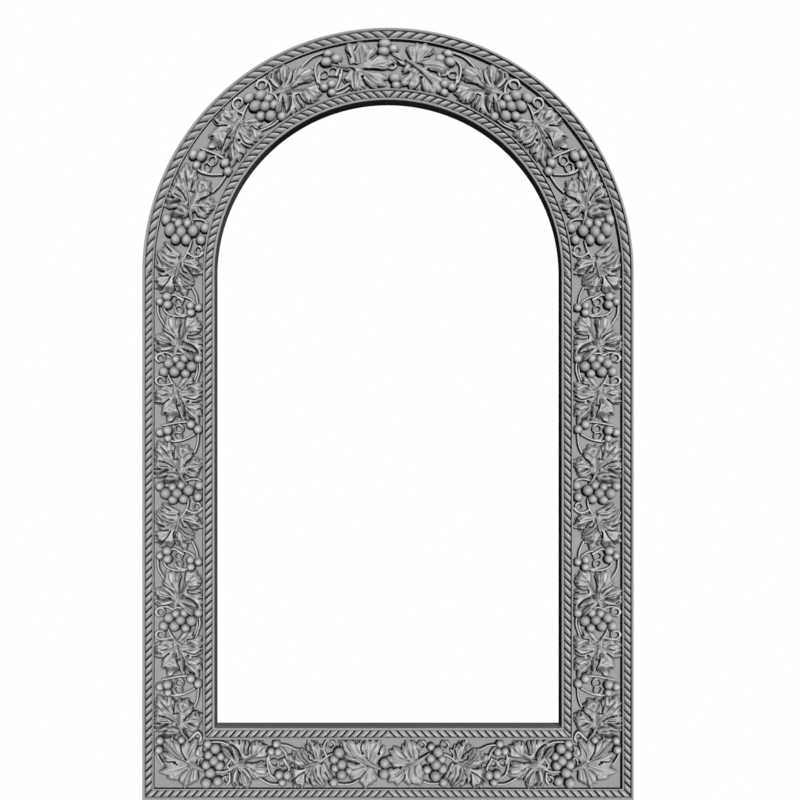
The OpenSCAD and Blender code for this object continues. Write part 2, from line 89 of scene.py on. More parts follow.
def linearColour(code):
    parts = [int(code[i:i + 2], 16) / 255 for i in (1, 3, 5)]
    return tuple(c / 12.92 if c <= 0.04045 else ((c + 0.055) / 1.055) ** 2.4 for c in parts) + (1,)


def newMaterial(name):
    material = bpy.data.materials.new(name)
    material.use_nodes = True
    return material, material.node_tree, material.node_tree.nodes["Principled BSDF"]


def addNode(tree, kind, settings=None, values=None, links=None):
    node = tree.nodes.new(kind)
    for key, value in (settings or {}).items():
        setattr(node, key, value)
    for key, value in (values or {}).items():
        node.inputs[key].default_value = value
    for key, source in (links or {}).items():
        tree.links.new(source, node.inputs[key])
    return node


# Grey gesso on limewood: a thin matt skin, brushed on and rubbed down. It is a plain mid grey on
# flat wood, with a painted highlight on raised carving and painted shade in cuts, hollows and on sides away
# from the light.
gesso = {
    "flat": "#a6a6a6", "edge": "#6c6c6c", "paintedHighlightGrey": "#dddddd", "cut": "#0d0d0d",
    "mottleMm": 34, "mottleFrom": 0.96, "mottleTo": 1.03,
    "brushMm": 0.7, "brushDeepMm": 0.1, "bump": 0.1, "roughness": 0.8, "specular": 0,
}


def gessoOnLimewood(name, flat):
    material, tree, shader = newMaterial(name)
    place = addNode(tree, "ShaderNodeTexCoord").outputs["Object"]
    mottle = addNode(tree, "ShaderNodeTexNoise", None,
                     {"Scale": 1 / (gesso["mottleMm"] * mm), "Detail": 3}, {"Vector": place})
    tint = addNode(tree, "ShaderNodeMapRange", None,
                   {"From Min": 0.3, "From Max": 0.7, "To Min": gesso["mottleFrom"],
                    "To Max": gesso["mottleTo"]}, {"Value": mottle.outputs["Fac"]})
    # painted highlight and painted shade, carried as mesh attributes, are mixed into the base colour
    paintedHighlight = addNode(tree, "ShaderNodeAttribute", {"attribute_name": "paintedHighlight"})
    cut = addNode(tree, "ShaderNodeAttribute", {"attribute_name": "cut"})
    pale = addNode(tree, "ShaderNodeMix", {"data_type": "RGBA"},
                   {6: linearColour(flat), 7: linearColour(gesso["paintedHighlightGrey"])},
                   {0: paintedHighlight.outputs["Fac"]})
    dark = addNode(tree, "ShaderNodeMix", {"data_type": "RGBA"},
                   {7: linearColour(gesso["cut"])}, {0: cut.outputs["Fac"], 6: pale.outputs[2]})
    shade = addNode(tree, "ShaderNodeVectorMath", {"operation": "SCALE"}, None,
                    {0: dark.outputs[2], "Scale": tint.outputs["Result"]})
    tree.links.new(shade.outputs[0], shader.inputs["Base Color"])
    brush = addNode(tree, "ShaderNodeTexNoise", None,
                    {"Scale": 1 / (gesso["brushMm"] * mm), "Detail": 2}, {"Vector": place})
    bump = addNode(tree, "ShaderNodeBump", None,
                   {"Strength": gesso["bump"], "Distance": gesso["brushDeepMm"] * mm},
                   {"Height": brush.outputs["Fac"]})
    tree.links.new(bump.outputs["Normal"], shader.inputs["Normal"])
    shader.inputs["Roughness"].default_value = gesso["roughness"]
    shader.inputs["Specular IOR Level"].default_value = gesso["specular"]
    return material


# Zinc-plated steel: rolled and barrel-plated, so bright, slightly blue and softly scratched
steel = {"scratchMm": 0.5, "scratchDeepMm": 0.03, "scratch": 0.12, "cloudMm": 7, "smoother": 0.08,
         "rougher": 0.14}


def zincPlatedSteel(name, colour, roughness):
    material, tree, shader = newMaterial(name)
    place = addNode(tree, "ShaderNodeTexCoord").outputs["Object"]
    scratch = addNode(tree, "ShaderNodeTexNoise", None,
                      {"Scale": 1 / (steel["scratchMm"] * mm), "Detail": 4, "Distortion": 0.4},
                      {"Vector": place})
    cloud = addNode(tree, "ShaderNodeTexNoise", None,
                    {"Scale": 1 / (steel["cloudMm"] * mm), "Detail": 2}, {"Vector": place})
    rough = addNode(tree, "ShaderNodeMapRange", None,
                    {"To Min": roughness - steel["smoother"], "To Max": roughness + steel["rougher"]},
                    {"Value": cloud.outputs["Fac"]})
    tree.links.new(rough.outputs["Result"], shader.inputs["Roughness"])
    bump = addNode(tree, "ShaderNodeBump", None,
                   {"Strength": steel["scratch"], "Distance": steel["scratchDeepMm"] * mm},
                   {"Height": scratch.outputs["Fac"]})
    tree.links.new(bump.outputs["Normal"], shader.inputs["Normal"])
    shader.inputs["Base Color"].default_value = linearColour(colour)
    shader.inputs["Metallic"].default_value = 1
    return material


# Two colours that a fine noise mixes, for a material with a faint pattern and no bump
def twoTone(name, colours, grainMm, stretch, roughness):
    material, tree, shader = newMaterial(name)
    place = addNode(tree, "ShaderNodeTexCoord").outputs["Object"]
    along = addNode(tree, "ShaderNodeMapping", None, {"Scale": (1, 1, stretch)}, {"Vector": place})
    grain = addNode(tree, "ShaderNodeTexNoise", None,
                    {"Scale": 1 / (grainMm * mm), "Detail": 4}, {"Vector": along.outputs["Vector"]})
    tone = addNode(tree, "ShaderNodeMix", {"data_type": "RGBA"},
                   {6: linearColour(colours[0]), 7: linearColour(colours[1])}, {0: grain.outputs["Fac"]})
    tree.links.new(tone.outputs[2], shader.inputs["Base Color"])
    shader.inputs["Roughness"].default_value = roughness
    return material


shadedBoardGesso = gessoOnLimewood("gessoOnLimewoodBoardWithPaintedShade", gesso["edge"])     # the boards' darker grey is painted shade, meant for the sight edge's walls
cableGesso = gessoOnLimewood("gessoOnLimewoodCable", gesso["flat"])
carvedGesso = gessoOnLimewood("gessoOnCarvedLimewood", gesso["flat"])
zincButton = zincPlatedSteel("zincPlatedSteelButton", "#9da1a4", 0.34)
zincScrew = zincPlatedSteel("zincPlatedSteelScrew", "#aeb0b3", 0.28)
zincHanger = zincPlatedSteel("zincPlatedSteelHanger", "#a39f96", 0.36)
rubber = twoTone("mouldedRubber", ("#232323", "#343434"), 3, 1, 0.8)            # matt, with a faint bloom
beech = twoTone("planedBeech", ("#c9a36f", "#a87f4e"), 0.8, 0.08, 0.55)         # straight grain upright

for nodeName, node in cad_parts.items():
    finish = shadedBoardGesso
    if nodeName.endswith("tongues"):
        finish = beech
    if nodeName == "hanger_plate":
        finish = zincHanger
    for slotIndex in range(len(node.material_slots)):
        node.material_slots[slotIndex].material = finish
print("materials made")


# Carved vine. Places are in the photograph's pixels: along the border, then in from its outer
# edge, which is 72.4 pixels wide. The pattern is laid out straight and bent round the sight edge.
bandPx = 72.4        # width of the border
crownPx = 50.4       # from the crown's middle to where the side's vine starts
jointPx = 10.8       # from there to the first joint between two pieces
vines = 5            # clusters on each side, with one piece of the frieze for each
sidePx = 727         # the sight edge, from the crown's middle to the rail
legSidePx = 112.8    # from the bottom up to where the side's vine ends
sightPx = 173.6      # half the sight opening
railPx = 110.3       # from the rail's middle to where the corner's vine starts
halfPx = (sidePx + bandPx - legSidePx - crownPx) / vines
px = bandW / bandPx
sideScale = sideLen / sidePx
railScale = sightR / sightPx
featureKinds = ("flutes", "planes", "cuts", "veins", "grapes", "rings", "stems", "eyes")


def moved(features, along=lambda a, t: a, across=lambda a, t: t):
    def pair(a, t):
        return (along(a, t), across(a, t))

    result = {}
    for kind in featureKinds:
        rows = features.get(kind, [])
        if kind == "flutes":
            rows = [pair(*f[0:2]) + pair(*f[2:4]) + pair(*f[4:6]) + (f[6],) for f in rows]
        elif kind in ("planes", "cuts", "veins"):
            rows = [(deep, half, [pair(*p) for p in line]) for deep, half, line in rows]
        elif kind == "stems":
            rows = [[pair(*p) for p in line] for line in rows]
        else:
            rows = [pair(*row[:2]) + row[2:] for row in rows]
        result[kind] = rows
    return result


def shifted(features, distance):
    return moved(features, along=lambda a, t: a + distance)


def flipped(features):
    return moved(features, along=lambda a, t: -a)


def joined(*sets):
    return {kind: sum([s.get(kind, []) for s in sets], []) for kind in featureKinds}


# A flute is a ridge of a leaf: its base, middle and tip, then its half width. Planes are the
# swells and hollows of a leaf. They, the cuts and the raised veins give a height or a depth in
# millimetres, a half width and a line. Grapes, rings and eyes give a place and a radius.
# The side vine has two clusters in turn, each with two of these four leaves.
leafP = {
    "flutes": [
        (39, 32, 33.5, 21, 30.5, 12.5, 2.6), (40, 31, 37, 20, 34, 12.2, 1.9),
        (41, 31, 40.5, 20, 37.5, 13, 3.0), (43, 31, 44, 21, 42, 12, 1.7),
        (38, 32, 32, 27, 27, 19.5, 2.2), (36, 32.5, 28, 28.5, 22.5, 20.5, 1.9),
        (35, 33, 25, 29, 18.5, 21, 2.2), (32, 34, 21, 28, 10, 25.5, 2.6),
        (32, 34, 20, 31.5, 10.5, 30.5, 2.0), (31, 35, 20, 34.5, 13.5, 36.5, 2.1),
        (33, 40, 21, 44.5, 10.5, 46, 2.2), (33, 41, 20, 48.5, 11.5, 53, 2.4),
        (33, 42, 23, 50, 16, 57, 2.4), (33, 43, 26, 51, 21, 58, 2.2),
        (33, 43, 28.5, 49, 26, 56.5, 1.6), (35, 43, 32, 50, 30.8, 58, 1.7),
        (36, 44, 35.3, 51, 34.5, 58.5, 1.5), (37, 44, 37.5, 52, 37, 59.5, 1.5),
        (38, 44, 40.5, 53, 42.5, 59.8, 2.0), (39, 43, 43.5, 51, 50, 59, 2.2),
        (41, 38, 41.5, 44, 45.5, 50, 2.0), (43, 37, 49, 44, 55, 51.5, 2.0),
        (47, 32, 40, 35, 33, 38, 2.0)],
    "planes": [
        (0.8, 3.0, [(13, 28.5), (21, 29.5)]), (0.6, 1.9, [(15, 35), (20, 35)]),
        (0.7, 1.8, [(31, 18), (34, 24)]), (0.7, 1.5, [(41, 12.5), (43, 16.5)]),
        (0.7, 2.0, [(31, 28), (35, 31), (39, 33)]), (0.6, 2.3, [(13, 45), (12.5, 52)]),
        (0.8, 2.5, [(20, 48), (17, 54)]), (0.6, 1.8, [(42, 40), (43, 46)]),
        (0.8, 2.1, [(49, 43), (54, 49)]), (0.5, 1.4, [(32, 48), (32, 55)]),
        (-0.9, 3.6, [(25, 43), (31, 39), (37, 37.5)]),
        (-1.1, 2.4, [(37, 15), (40, 20), (39, 27)]), (-0.7, 1.8, [(27, 47), (26.5, 55)]),
        (-0.8, 2.2, [(38, 44), (42, 51), (46, 55)])],
    "cuts": [
        (2.4, 1.2, [(19.3, 38.8), (22.5, 38.1), (26.4, 36.2)]),
        (1.0, 0.9, [(14.5, 37.4), (18.5, 37.8)]),
        (0.9, 1.0, [(9.5, 25.2), (16, 26), (22, 28.5), (26.5, 31.5)]),
        (0.9, 0.9, [(21.5, 22), (24, 26), (27, 30.5)]),
        (1.6, 1.1, [(24.5, 20.3), (27, 25), (29.5, 29.3), (32.5, 32.2)]),
        (1.3, 1.0, [(28.5, 21), (31, 24.5), (35, 28.3)]),
        (1.2, 1.2, [(34.3, 12), (35.6, 17), (37, 23), (39.5, 28.5), (44, 31.3)]),
        (1.2, 1.4, [(34.8, 12.5), (38.5, 15.8)]),
        (1.8, 1.0, [(45.4, 19), (44.9, 25), (43.2, 29.6)]),
        (2.2, 1.0, [(41.2, 14.8), (43.2, 18.2)]),
        (1.0, 1.0, [(12.8, 53.5), (17, 49.5), (22.8, 44.8)]),
        (1.2, 1.0, [(12, 42.4), (19, 42.1), (26, 42.8)]),
        (2.4, 1.2, [(32.6, 45.3), (29.7, 45.6), (29.6, 50), (28.4, 55), (25, 59)]),
        (0.9, 0.9, [(33.8, 46), (34, 52), (33.4, 57)]),
        (1.8, 1.7, [(37.5, 42.5), (38.6, 47.5), (42, 52.5), (47, 56)]),
        (0.8, 0.8, [(40.8, 41), (42.5, 47), (45.5, 50)]),
        (1.8, 1.0, [(46.3, 45.5), (46, 49.5), (47.5, 54), (50.3, 58.5)]),
        (2.0, 0.9, [(32.3, 56.6), (33.4, 59.5)]), (2.0, 0.9, [(38.4, 56.5), (38.4, 60)]),
        (1.6, 0.9, [(15.3, 56), (16.5, 58.5)]), (1.6, 0.9, [(22.6, 55.5), (23.2, 58.5)]),
        (0.7, 0.9, [(11, 33), (17, 33.5), (24, 34)]),
        (0.8, 0.8, [(36, 46), (36.6, 52), (36.8, 58)])],
    "veins": [
        (0.5, 1.0, [(20.8, 23), (25, 28), (29, 32.6)]),
        (0.6, 1.1, [(25.8, 25), (28.6, 30), (32, 33)]),
        (0.6, 1.1, [(30.2, 18.5), (32.6, 23.5), (36, 28), (39, 31)]),
        (0.5, 1.0, [(33.4, 15), (35.2, 20), (37, 25.5)]),
        (0.6, 1.3, [(31, 32.4), (35, 33.6), (40, 33)]), (0.5, 1.0, [(31.7, 47), (32.1, 55)]),
        (0.5, 1.0, [(41, 43), (44, 49), (47, 52)]), (0.6, 1.0, [(48, 43.5), (52.5, 48), (56, 52)])],
    "eyes": [(45.6, 45.6, 1.1)],
}
leafQ = {
    "flutes": [
        (84, 32, 82.5, 24, 82, 19.5, 2.2), (86, 31, 85, 22, 85.5, 12.4, 2.2),
        (87, 31, 88.5, 21, 90.5, 13.5, 2.5), (88, 30, 92, 22, 96, 12.6, 2.6),
        (90, 31, 97, 26, 101, 20, 2.2), (91, 31, 100, 27, 107.5, 20, 2.8),
        (92, 32, 102, 30.5, 115.8, 25.8, 3.0), (92, 33, 102, 33, 112, 33.5, 2.0),
        (96, 34, 103, 36, 110.5, 37.5, 1.5), (84, 34, 92, 35, 98, 37, 1.6),
        (90, 38, 100, 40, 115, 40.8, 1.7), (90, 38, 101, 43.5, 114.5, 46.5, 2.2),
        (90, 39, 103, 48, 117.5, 55, 2.6), (90, 39, 101, 50, 109, 58, 2.4),
        (90, 39, 99, 51, 102, 58.8, 2.5), (88, 38, 93, 46, 94.5, 55, 1.7),
        (87, 38, 91.5, 48, 93.5, 58.5, 1.8), (86, 38, 88, 50, 88.5, 58.8, 2.3),
        (85, 38, 84.5, 50, 83, 59.6, 2.4), (85, 39, 81, 51, 77.5, 58.5, 2.0),
        (84, 37, 80.5, 44, 76.5, 52, 1.9), (83, 36, 79, 43, 71, 51.5, 2.2),
        (82, 35, 77, 40, 70.5, 46, 2.0), (79, 31, 88, 33, 97, 34.5, 2.0)],
    "planes": [
        (0.8, 2.6, [(86, 16), (87, 25)]), (0.9, 3.0, [(100, 46), (103, 54)]),
        (0.8, 2.6, [(80, 50), (83, 56)]), (0.7, 2.0, [(115.5, 27), (114, 31)]),
        (0.4, 1.4, [(94, 36), (97.4, 37)]), (0.5, 1.4, [(109, 39.6), (114, 40)]),
        (0.5, 1.4, [(88.5, 48), (88, 54)]), (0.6, 2.0, [(102, 28), (105, 33)]),
        (-0.9, 3.6, [(110, 24), (109.5, 34)]), (-0.9, 2.0, [(98, 40), (110, 41)]),
        (-1.2, 2.5, [(107, 44), (112, 47), (114, 51)]), (-0.8, 2.2, [(93, 13), (93.5, 18)]),
        (-0.8, 1.6, [(101, 41.7), (111, 42.5)]), (-0.6, 2.6, [(87, 33), (96, 32)]),
        (-0.6, 3.2, [(83.5, 47), (86, 51)]), (-1.0, 1.4, [(72, 51.5), (75, 51)]),
        (-0.6, 2.2, [(76, 46), (80, 42)])],
    "cuts": [
        (1.4, 1.0, [(82.2, 17.8), (84, 16.4), (85.8, 12.5)]),
        (2.0, 1.0, [(96.2, 12), (97.1, 15), (97, 18.8)]),
        (2.5, 1.2, [(99.8, 19.2), (96, 23.5), (93.3, 26.6)]),
        (0.8, 0.9, [(89.8, 18.5), (89.6, 25), (88, 30)]),
        (0.8, 0.9, [(95, 18), (92.5, 23), (90, 29)]),
        (0.8, 0.8, [(84, 22.5), (86, 26.3), (88.8, 24.5)]),
        (0.8, 1.0, [(101, 20.3), (97, 26), (94, 31)]),
        (0.7, 0.9, [(103.5, 22.5), (99, 27.5), (96, 31.5)]),
        (2.0, 1.0, [(106.6, 23.6), (108, 21)]),
        (1.8, 1.1, [(93.5, 34), (99, 34), (103, 35.6), (108, 37.4), (112, 36)]),
        (2.2, 1.1, [(99.4, 38), (99.6, 35.6), (102, 35)]), (1.0, 1.0, [(102, 38.5), (107, 38.9)]),
        (2.0, 1.0, [(117, 27), (114.6, 31.5), (111, 33.6)]),
        (1.1, 1.0, [(88, 36), (95, 40), (102, 42.5), (110, 42.3)]),
        (1.0, 1.0, [(104, 43.8), (108.5, 47.5), (113, 52.5)]),
        (0.9, 0.9, [(100, 43.5), (104.5, 48), (108, 53)]),
        (1.7, 1.1, [(90.8, 41.5), (92.7, 47), (93.8, 52), (92.6, 55.5)]),
        (1.3, 0.9, [(95, 46), (96.5, 43.8), (98.4, 46), (98.7, 51), (97.7, 55.5)]),
        (2.2, 1.1, [(96.6, 50), (96.4, 54.5), (94.2, 59)]),
        (0.7, 0.9, [(89.6, 43), (89.8, 50), (88.4, 56)]),
        (2.0, 0.9, [(103.6, 55.5), (102.2, 59)]), (1.8, 0.9, [(110.6, 56.8), (110, 59)]),
        (1.8, 0.9, [(92.6, 55.8), (90, 58.6)]), (1.6, 0.9, [(87.4, 57.5), (87.6, 60)]),
        (2.2, 1.1, [(81, 45.4), (79.3, 45.5), (78.4, 50), (76.4, 53)]),
        (0.9, 1.0, [(84.6, 39), (80, 44), (75, 50)]),
        (0.9, 1.0, [(82, 37.5), (78, 42), (71, 47.4)]),
        (0.8, 0.9, [(80, 34.5), (83.8, 39), (84.6, 43.5), (83, 47.5)]),
        (0.7, 0.9, [(86, 37.5), (87.3, 42), (86, 46), (85.8, 51)]),
        (1.0, 0.9, [(78.5, 30), (82, 30.6), (87, 30.6)]),
        (0.9, 0.9, [(82, 24), (83.4, 28.5), (84, 31)])],
    "veins": [
        (0.9, 1.3, [(66, 26.2), (72, 27.2), (78, 30.8), (83, 35), (90, 38), (97, 42.6), (102.5, 48)]),
        (0.5, 1.0, [(97, 32.6), (102, 33.6), (107, 35.8)]),
        (0.5, 1.1, [(92.5, 36), (96, 36.6), (98.3, 37.3)]),
        (0.6, 1.2, [(92.2, 40.8), (95.2, 44)]), (0.5, 1.1, [(84.8, 18), (85.8, 23)]),
        (0.4, 1.0, [(105, 46), (109, 50), (112, 55)]), (0.5, 1.0, [(86.6, 26), (88.6, 20)])],
}
leafR = {
    "flutes": [
        (43, 35, 41.3, 29.5, 42.5, 24, 2.3), (40, 33, 39.5, 22, 43, 12.5, 2.6),
        (38, 32, 36.5, 22, 38, 12.2, 1.9), (37, 32, 34, 22, 34, 12.2, 1.9),
        (36, 32, 31.8, 22, 31, 12.4, 2.0), (35, 31.5, 28, 22, 26, 13, 1.9),
        (34, 31, 24, 21, 21, 13.5, 1.9), (33, 31, 21.5, 20.5, 16, 12.8, 2.0),
        (31, 30, 18, 21, 9, 15.5, 2.6), (29, 30, 18, 26, 9, 27, 3.0),
        (31, 33, 22, 33, 13, 31.5, 1.4), (32, 36, 20, 33.8, 16.5, 33, 1.7),
        (31, 37, 21, 38, 12.5, 37, 2.4), (31, 38, 20, 41.5, 12.5, 44.5, 2.6),
        (32, 39, 22, 45, 18.5, 50, 2.2), (33, 40, 25.5, 44.5, 22.5, 50.5, 1.7),
        (35, 43, 29, 50, 25, 54, 2.0), (35, 43, 31, 52, 28.5, 60, 2.4),
        (36, 43, 34, 52, 32, 59.5, 1.9), (37, 43, 38, 51, 36.5, 57, 1.7),
        (38, 42, 41.8, 48, 40.5, 55.5, 1.7), (45, 35, 47.5, 28, 48.5, 20.5, 2.6),
        (46, 34, 50.5, 27, 52.8, 21.5, 2.2), (40, 40, 38, 41, 35, 44, 2.0),
        (30, 35, 35, 37.5, 42, 40, 2.6), (28, 30.5, 41, 37.8, 53, 45, 1.2)],
    "planes": [
        (0.9, 3.0, [(9, 17), (13, 22), (17, 25)]), (0.6, 2.0, [(10, 27), (16, 28)]),
        (0.4, 1.2, [(32, 18), (32.6, 25)]), (0.9, 3.0, [(42.5, 25), (42, 30), (44, 35)]),
        (0.7, 2.0, [(13, 37), (17, 38.5)]), (0.8, 2.8, [(15, 41), (19, 48)]),
        (-1.6, 3.2, [(48.5, 21), (49, 31)]), (0.9, 2.6, [(28, 52), (31, 57)]),
        (-1.1, 2.5, [(41.5, 13.5), (39, 20), (37.5, 24)]), (-0.9, 1.6, [(35, 15), (36.5, 17)]),
        (-0.7, 1.8, [(9, 40.5), (10, 45)]), (-0.6, 2.5, [(26, 35.6), (36, 37)]),
        (-0.8, 1.7, [(36.5, 47), (38, 53)]), (-0.7, 1.8, [(19, 14.5), (23, 20)]),
        (-0.7, 1.5, [(28, 17), (28.5, 23)])],
    "cuts": [
        (1.2, 1.1, [(14.5, 18.6), (19.5, 23.4), (25, 27.6)]),
        (0.8, 0.9, [(25.3, 21), (28, 26), (34, 31)]),
        (1.1, 0.9, [(20, 20.6), (25, 26.4), (31, 31.4), (38, 35.4), (46, 41.2), (53, 44)]),
        (1.7, 1.1, [(29, 20), (30.4, 25.5), (34.5, 31)]),
        (0.8, 0.8, [(33.2, 18), (33.6, 24), (35, 29)]), (1.8, 1.1, [(36.4, 12.5), (36, 19)]),
        (1.4, 1.4, [(44.5, 13.5), (40, 19), (37.2, 24), (36.2, 30)]),
        (2.0, 1.1, [(48.3, 13), (45.5, 18), (44, 22.5), (42.6, 25)]),
        (0.9, 0.9, [(9.2, 24.6), (15, 25), (20.5, 27)]),
        (2.0, 1.1, [(9.5, 31.4), (15, 32.6), (18.5, 31.8), (24.5, 31.6)]),
        (1.6, 1.1, [(26.3, 31), (26.3, 34.8)]), (0.9, 0.9, [(16, 35), (20, 36.6), (24.5, 38.6)]),
        (1.4, 1.0, [(10.5, 39), (13.4, 38.4), (12.6, 36.2)]),
        (0.7, 0.9, [(9, 44.5), (13, 41.8), (20, 40.6)]),
        (0.8, 0.9, [(24.6, 40.8), (22, 45), (20.6, 48.5)]),
        (0.8, 0.9, [(27, 41.8), (24.4, 46), (22.5, 49)]),
        (2.2, 1.2, [(21.5, 51.4), (25.5, 48.9), (29.6, 44.4)]),
        (1.4, 0.9, [(17.3, 47), (15.5, 51)]),
        (1.2, 0.9, [(30, 46.2), (32.2, 45.6), (33.2, 43.2), (32, 41.2)]),
        (1.1, 1.0, [(36, 45.6), (38, 50), (39.3, 54)]),
        (0.7, 0.9, [(36.2, 44.5), (35.6, 49), (33.8, 57)]),
        (1.0, 0.9, [(39.8, 46), (41, 50), (42.4, 54.5)]),
        (1.2, 1.0, [(37.6, 40.8), (37, 44), (39.6, 45.6)]), (1.8, 0.9, [(34, 59.5), (36.6, 57)]),
        (1.8, 0.9, [(38.2, 57.6), (40.6, 54.6)]), (1.6, 0.9, [(25.6, 53.4), (27.6, 53.2)]),
        (1.6, 0.9, [(26, 57), (28, 57.4)]),
        (1.6, 1.1, [(41.8, 44.5), (42, 41.8), (44.5, 41.4), (48.6, 44.2)]),
        (1.8, 1.0, [(48.6, 19.4), (51, 19.4)]), (1.0, 0.9, [(47, 33), (49.6, 27), (49.8, 21)]),
        (0.8, 0.9, [(39.5, 24.5), (38.6, 29), (39.6, 34)])],
    "veins": [
        (0.9, 1.1, [(22, 23.6), (27.5, 29.4), (33, 33.6), (40, 37.8), (46, 41.4), (53, 45)]),
        (0.5, 1.0, [(10.5, 18.5), (15, 22), (19, 25.6)]), (0.5, 1.0, [(31.6, 18), (32.6, 24)]),
        (0.5, 1.0, [(34.4, 18.5), (34.8, 25)]), (0.6, 1.6, [(41.8, 26), (41, 31), (42.8, 35)]),
        (0.6, 1.1, [(16.5, 33.2), (21, 34.6), (25.5, 37.4)]),
        (0.5, 1.2, [(30.5, 48), (30, 53), (30.4, 57.5)]), (0.5, 1.0, [(20.6, 42), (18.6, 47.5)])],
    "eyes": [(29.3, 44.4, 1.1), (42, 41.7, 0.9)],
}
leafT = {
    "flutes": [
        (79, 35, 80, 27, 76, 17.5, 2.0), (78, 33, 75, 26, 71, 20, 2.0),
        (82, 34, 83.5, 27, 78.5, 14, 1.9), (84, 35, 85.5, 27, 83, 20, 1.6),
        (87, 34, 87.5, 24, 80, 13.5, 2.5), (88, 33, 90, 24, 88.5, 13, 2.0),
        (89, 33, 93, 26, 94, 16.5, 2.0), (90, 33, 95, 28, 96, 23, 1.9),
        (92, 33, 99, 24, 101, 12.6, 2.4), (93, 33, 103, 23, 108, 13, 2.6),
        (94, 33, 105, 26, 113, 18.5, 2.6), (94, 33.5, 105, 29, 114.5, 27, 2.4),
        (85, 37, 94, 35, 100, 33.8, 1.7), (92, 36, 103, 36, 111.5, 34.5, 2.0),
        (92, 37, 104, 39.5, 116, 42.5, 2.6), (90, 37, 102, 42, 109, 48.5, 2.1),
        (88, 37, 98.5, 43, 105, 50.5, 1.8), (86, 38, 95.5, 43, 101, 50.5, 1.9),
        (86, 39, 91.5, 41.5, 94, 46, 1.7), (84, 39, 90, 49, 97, 53.5, 1.8),
        (84, 39, 89.5, 50, 93.5, 60.5, 2.3), (83, 39, 86.5, 50, 86, 57, 2.2),
        (82, 39, 83, 47, 81.5, 54, 1.9)],
    "planes": [
        (0.9, 2.2, [(80, 15), (84.5, 20), (87.5, 27)]), (0.6, 1.6, [(71.5, 22), (74, 28)]),
        (0.5, 1.6, [(80.5, 27), (80.5, 33)]), (0.6, 1.8, [(95, 25), (92, 29)]),
        (0.9, 2.6, [(84.5, 43), (86, 50), (89, 56)]), (0.5, 1.4, [(95.5, 40), (99.5, 47)]),
        (0.5, 1.4, [(101.5, 41), (103.5, 46)]), (0.4, 1.4, [(92, 35.6), (98, 34.6)]),
        (0.4, 1.8, [(99.5, 15), (99, 21)]), (-0.9, 3.4, [(109.5, 16), (111, 29)]),
        (-0.8, 1.8, [(91.5, 15), (93.5, 21)]), (-0.9, 2.3, [(105, 34), (110, 37)]),
        (-0.8, 2.2, [(109, 41), (108, 46)]), (-0.7, 2.2, [(106, 15), (109, 18)]),
        (-0.7, 1.6, [(80.7, 44), (81.4, 50)]), (-1.0, 1.8, [(92, 50), (94, 56)])],
    "cuts": [
        (1.9, 1.1, [(70.8, 19.2), (74, 22.5), (77.4, 28)]),
        (1.0, 0.9, [(74, 17.4), (77.6, 18.4), (79, 22.5)]),
        (0.9, 1.0, [(78.2, 18.5), (80.6, 23), (82, 28), (82.4, 33)]),
        (1.2, 1.0, [(82.8, 20.3), (86, 25.5), (87, 31)]),
        (1.3, 1.4, [(80.6, 13.8), (85, 16.6), (88.8, 20.5)]),
        (2.0, 1.2, [(89.6, 13), (92.8, 16.5), (93.4, 22)]),
        (0.8, 0.9, [(93.4, 22), (92, 26), (91, 30)]),
        (2.0, 1.2, [(97.1, 17.5), (97.6, 21.5), (97.1, 26.2)]),
        (1.5, 1.1, [(113, 17), (108, 21.5), (103.5, 25.3), (98, 28.3)]),
        (0.6, 0.9, [(104.4, 18), (102.2, 23), (99, 27.4)]),
        (1.8, 0.9, [(102, 12.4), (103.2, 15.8)]),
        (2.4, 1.2, [(98.8, 32), (101, 31.2), (105, 31.6)]),
        (0.8, 0.9, [(99.4, 34.6), (101.6, 35.6), (104, 35)]),
        (1.8, 1.0, [(107.6, 32), (108.2, 35)]), (2.0, 1.0, [(113.8, 31.6), (110, 33)]),
        (1.4, 1.2, [(82, 38.4), (88, 38.2), (93, 41), (96, 46), (99.5, 50.5)]),
        (1.2, 1.0, [(95.4, 38.4), (99, 42.5), (101.5, 47), (103.6, 50.5)]),
        (1.1, 1.0, [(98, 37.4), (102.5, 42), (106.5, 46.5), (108.4, 50.5)]),
        (0.9, 0.9, [(102.6, 39.4), (108, 41.4), (110.4, 44)]),
        (1.5, 1.3, [(90.4, 40), (93.3, 41), (94.4, 44.8)]),
        (0.9, 1.0, [(81.4, 39.3), (82.6, 44), (81.2, 50)]),
        (1.2, 1.0, [(88.4, 41.3), (90, 47), (91.5, 53), (93.6, 58.5)]),
        (1.1, 1.0, [(91.2, 44.4), (93.4, 50.5)]), (1.6, 0.9, [(82, 53.2), (84, 56)]),
        (2.2, 1.1, [(84.4, 57.4), (86.6, 56.8), (88.6, 55)]),
        (2.0, 1.1, [(96.6, 52.8), (97.3, 56), (95.2, 61)]), (1.6, 0.9, [(90.6, 58.6), (92, 61)]),
        (0.8, 0.9, [(86, 44), (86.6, 50), (85.4, 54)]),
        (1.0, 0.9, [(111.4, 39), (110.4, 43), (111.6, 46.4)])],
    "veins": [
        (0.9, 1.2, [(72, 45.4), (78, 42.3), (83, 38.4), (88, 36.4), (93, 35.5), (98.6, 34.3)]),
        (0.7, 1.4, [(80.6, 16), (84.6, 21), (88, 27), (88.6, 31.5)]),
        (0.5, 1.0, [(76, 18.8), (78, 24)]), (0.5, 1.0, [(71.6, 21), (74.6, 26)]),
        (0.5, 1.0, [(90.6, 19), (90.4, 25)]), (0.5, 1.1, [(90.6, 33), (93, 28.6), (95.8, 25)]),
        (0.6, 1.0, [(94, 38.8), (97.4, 43.2), (100.6, 48.6)]),
        (0.5, 1.0, [(99.4, 39.8), (101.8, 43.4), (104.8, 47.4)]),
        (0.5, 1.0, [(102.6, 40.4), (105.8, 42.8)]),
        (0.5, 1.2, [(87.2, 43), (88.6, 49), (90.6, 55.5)])],
}
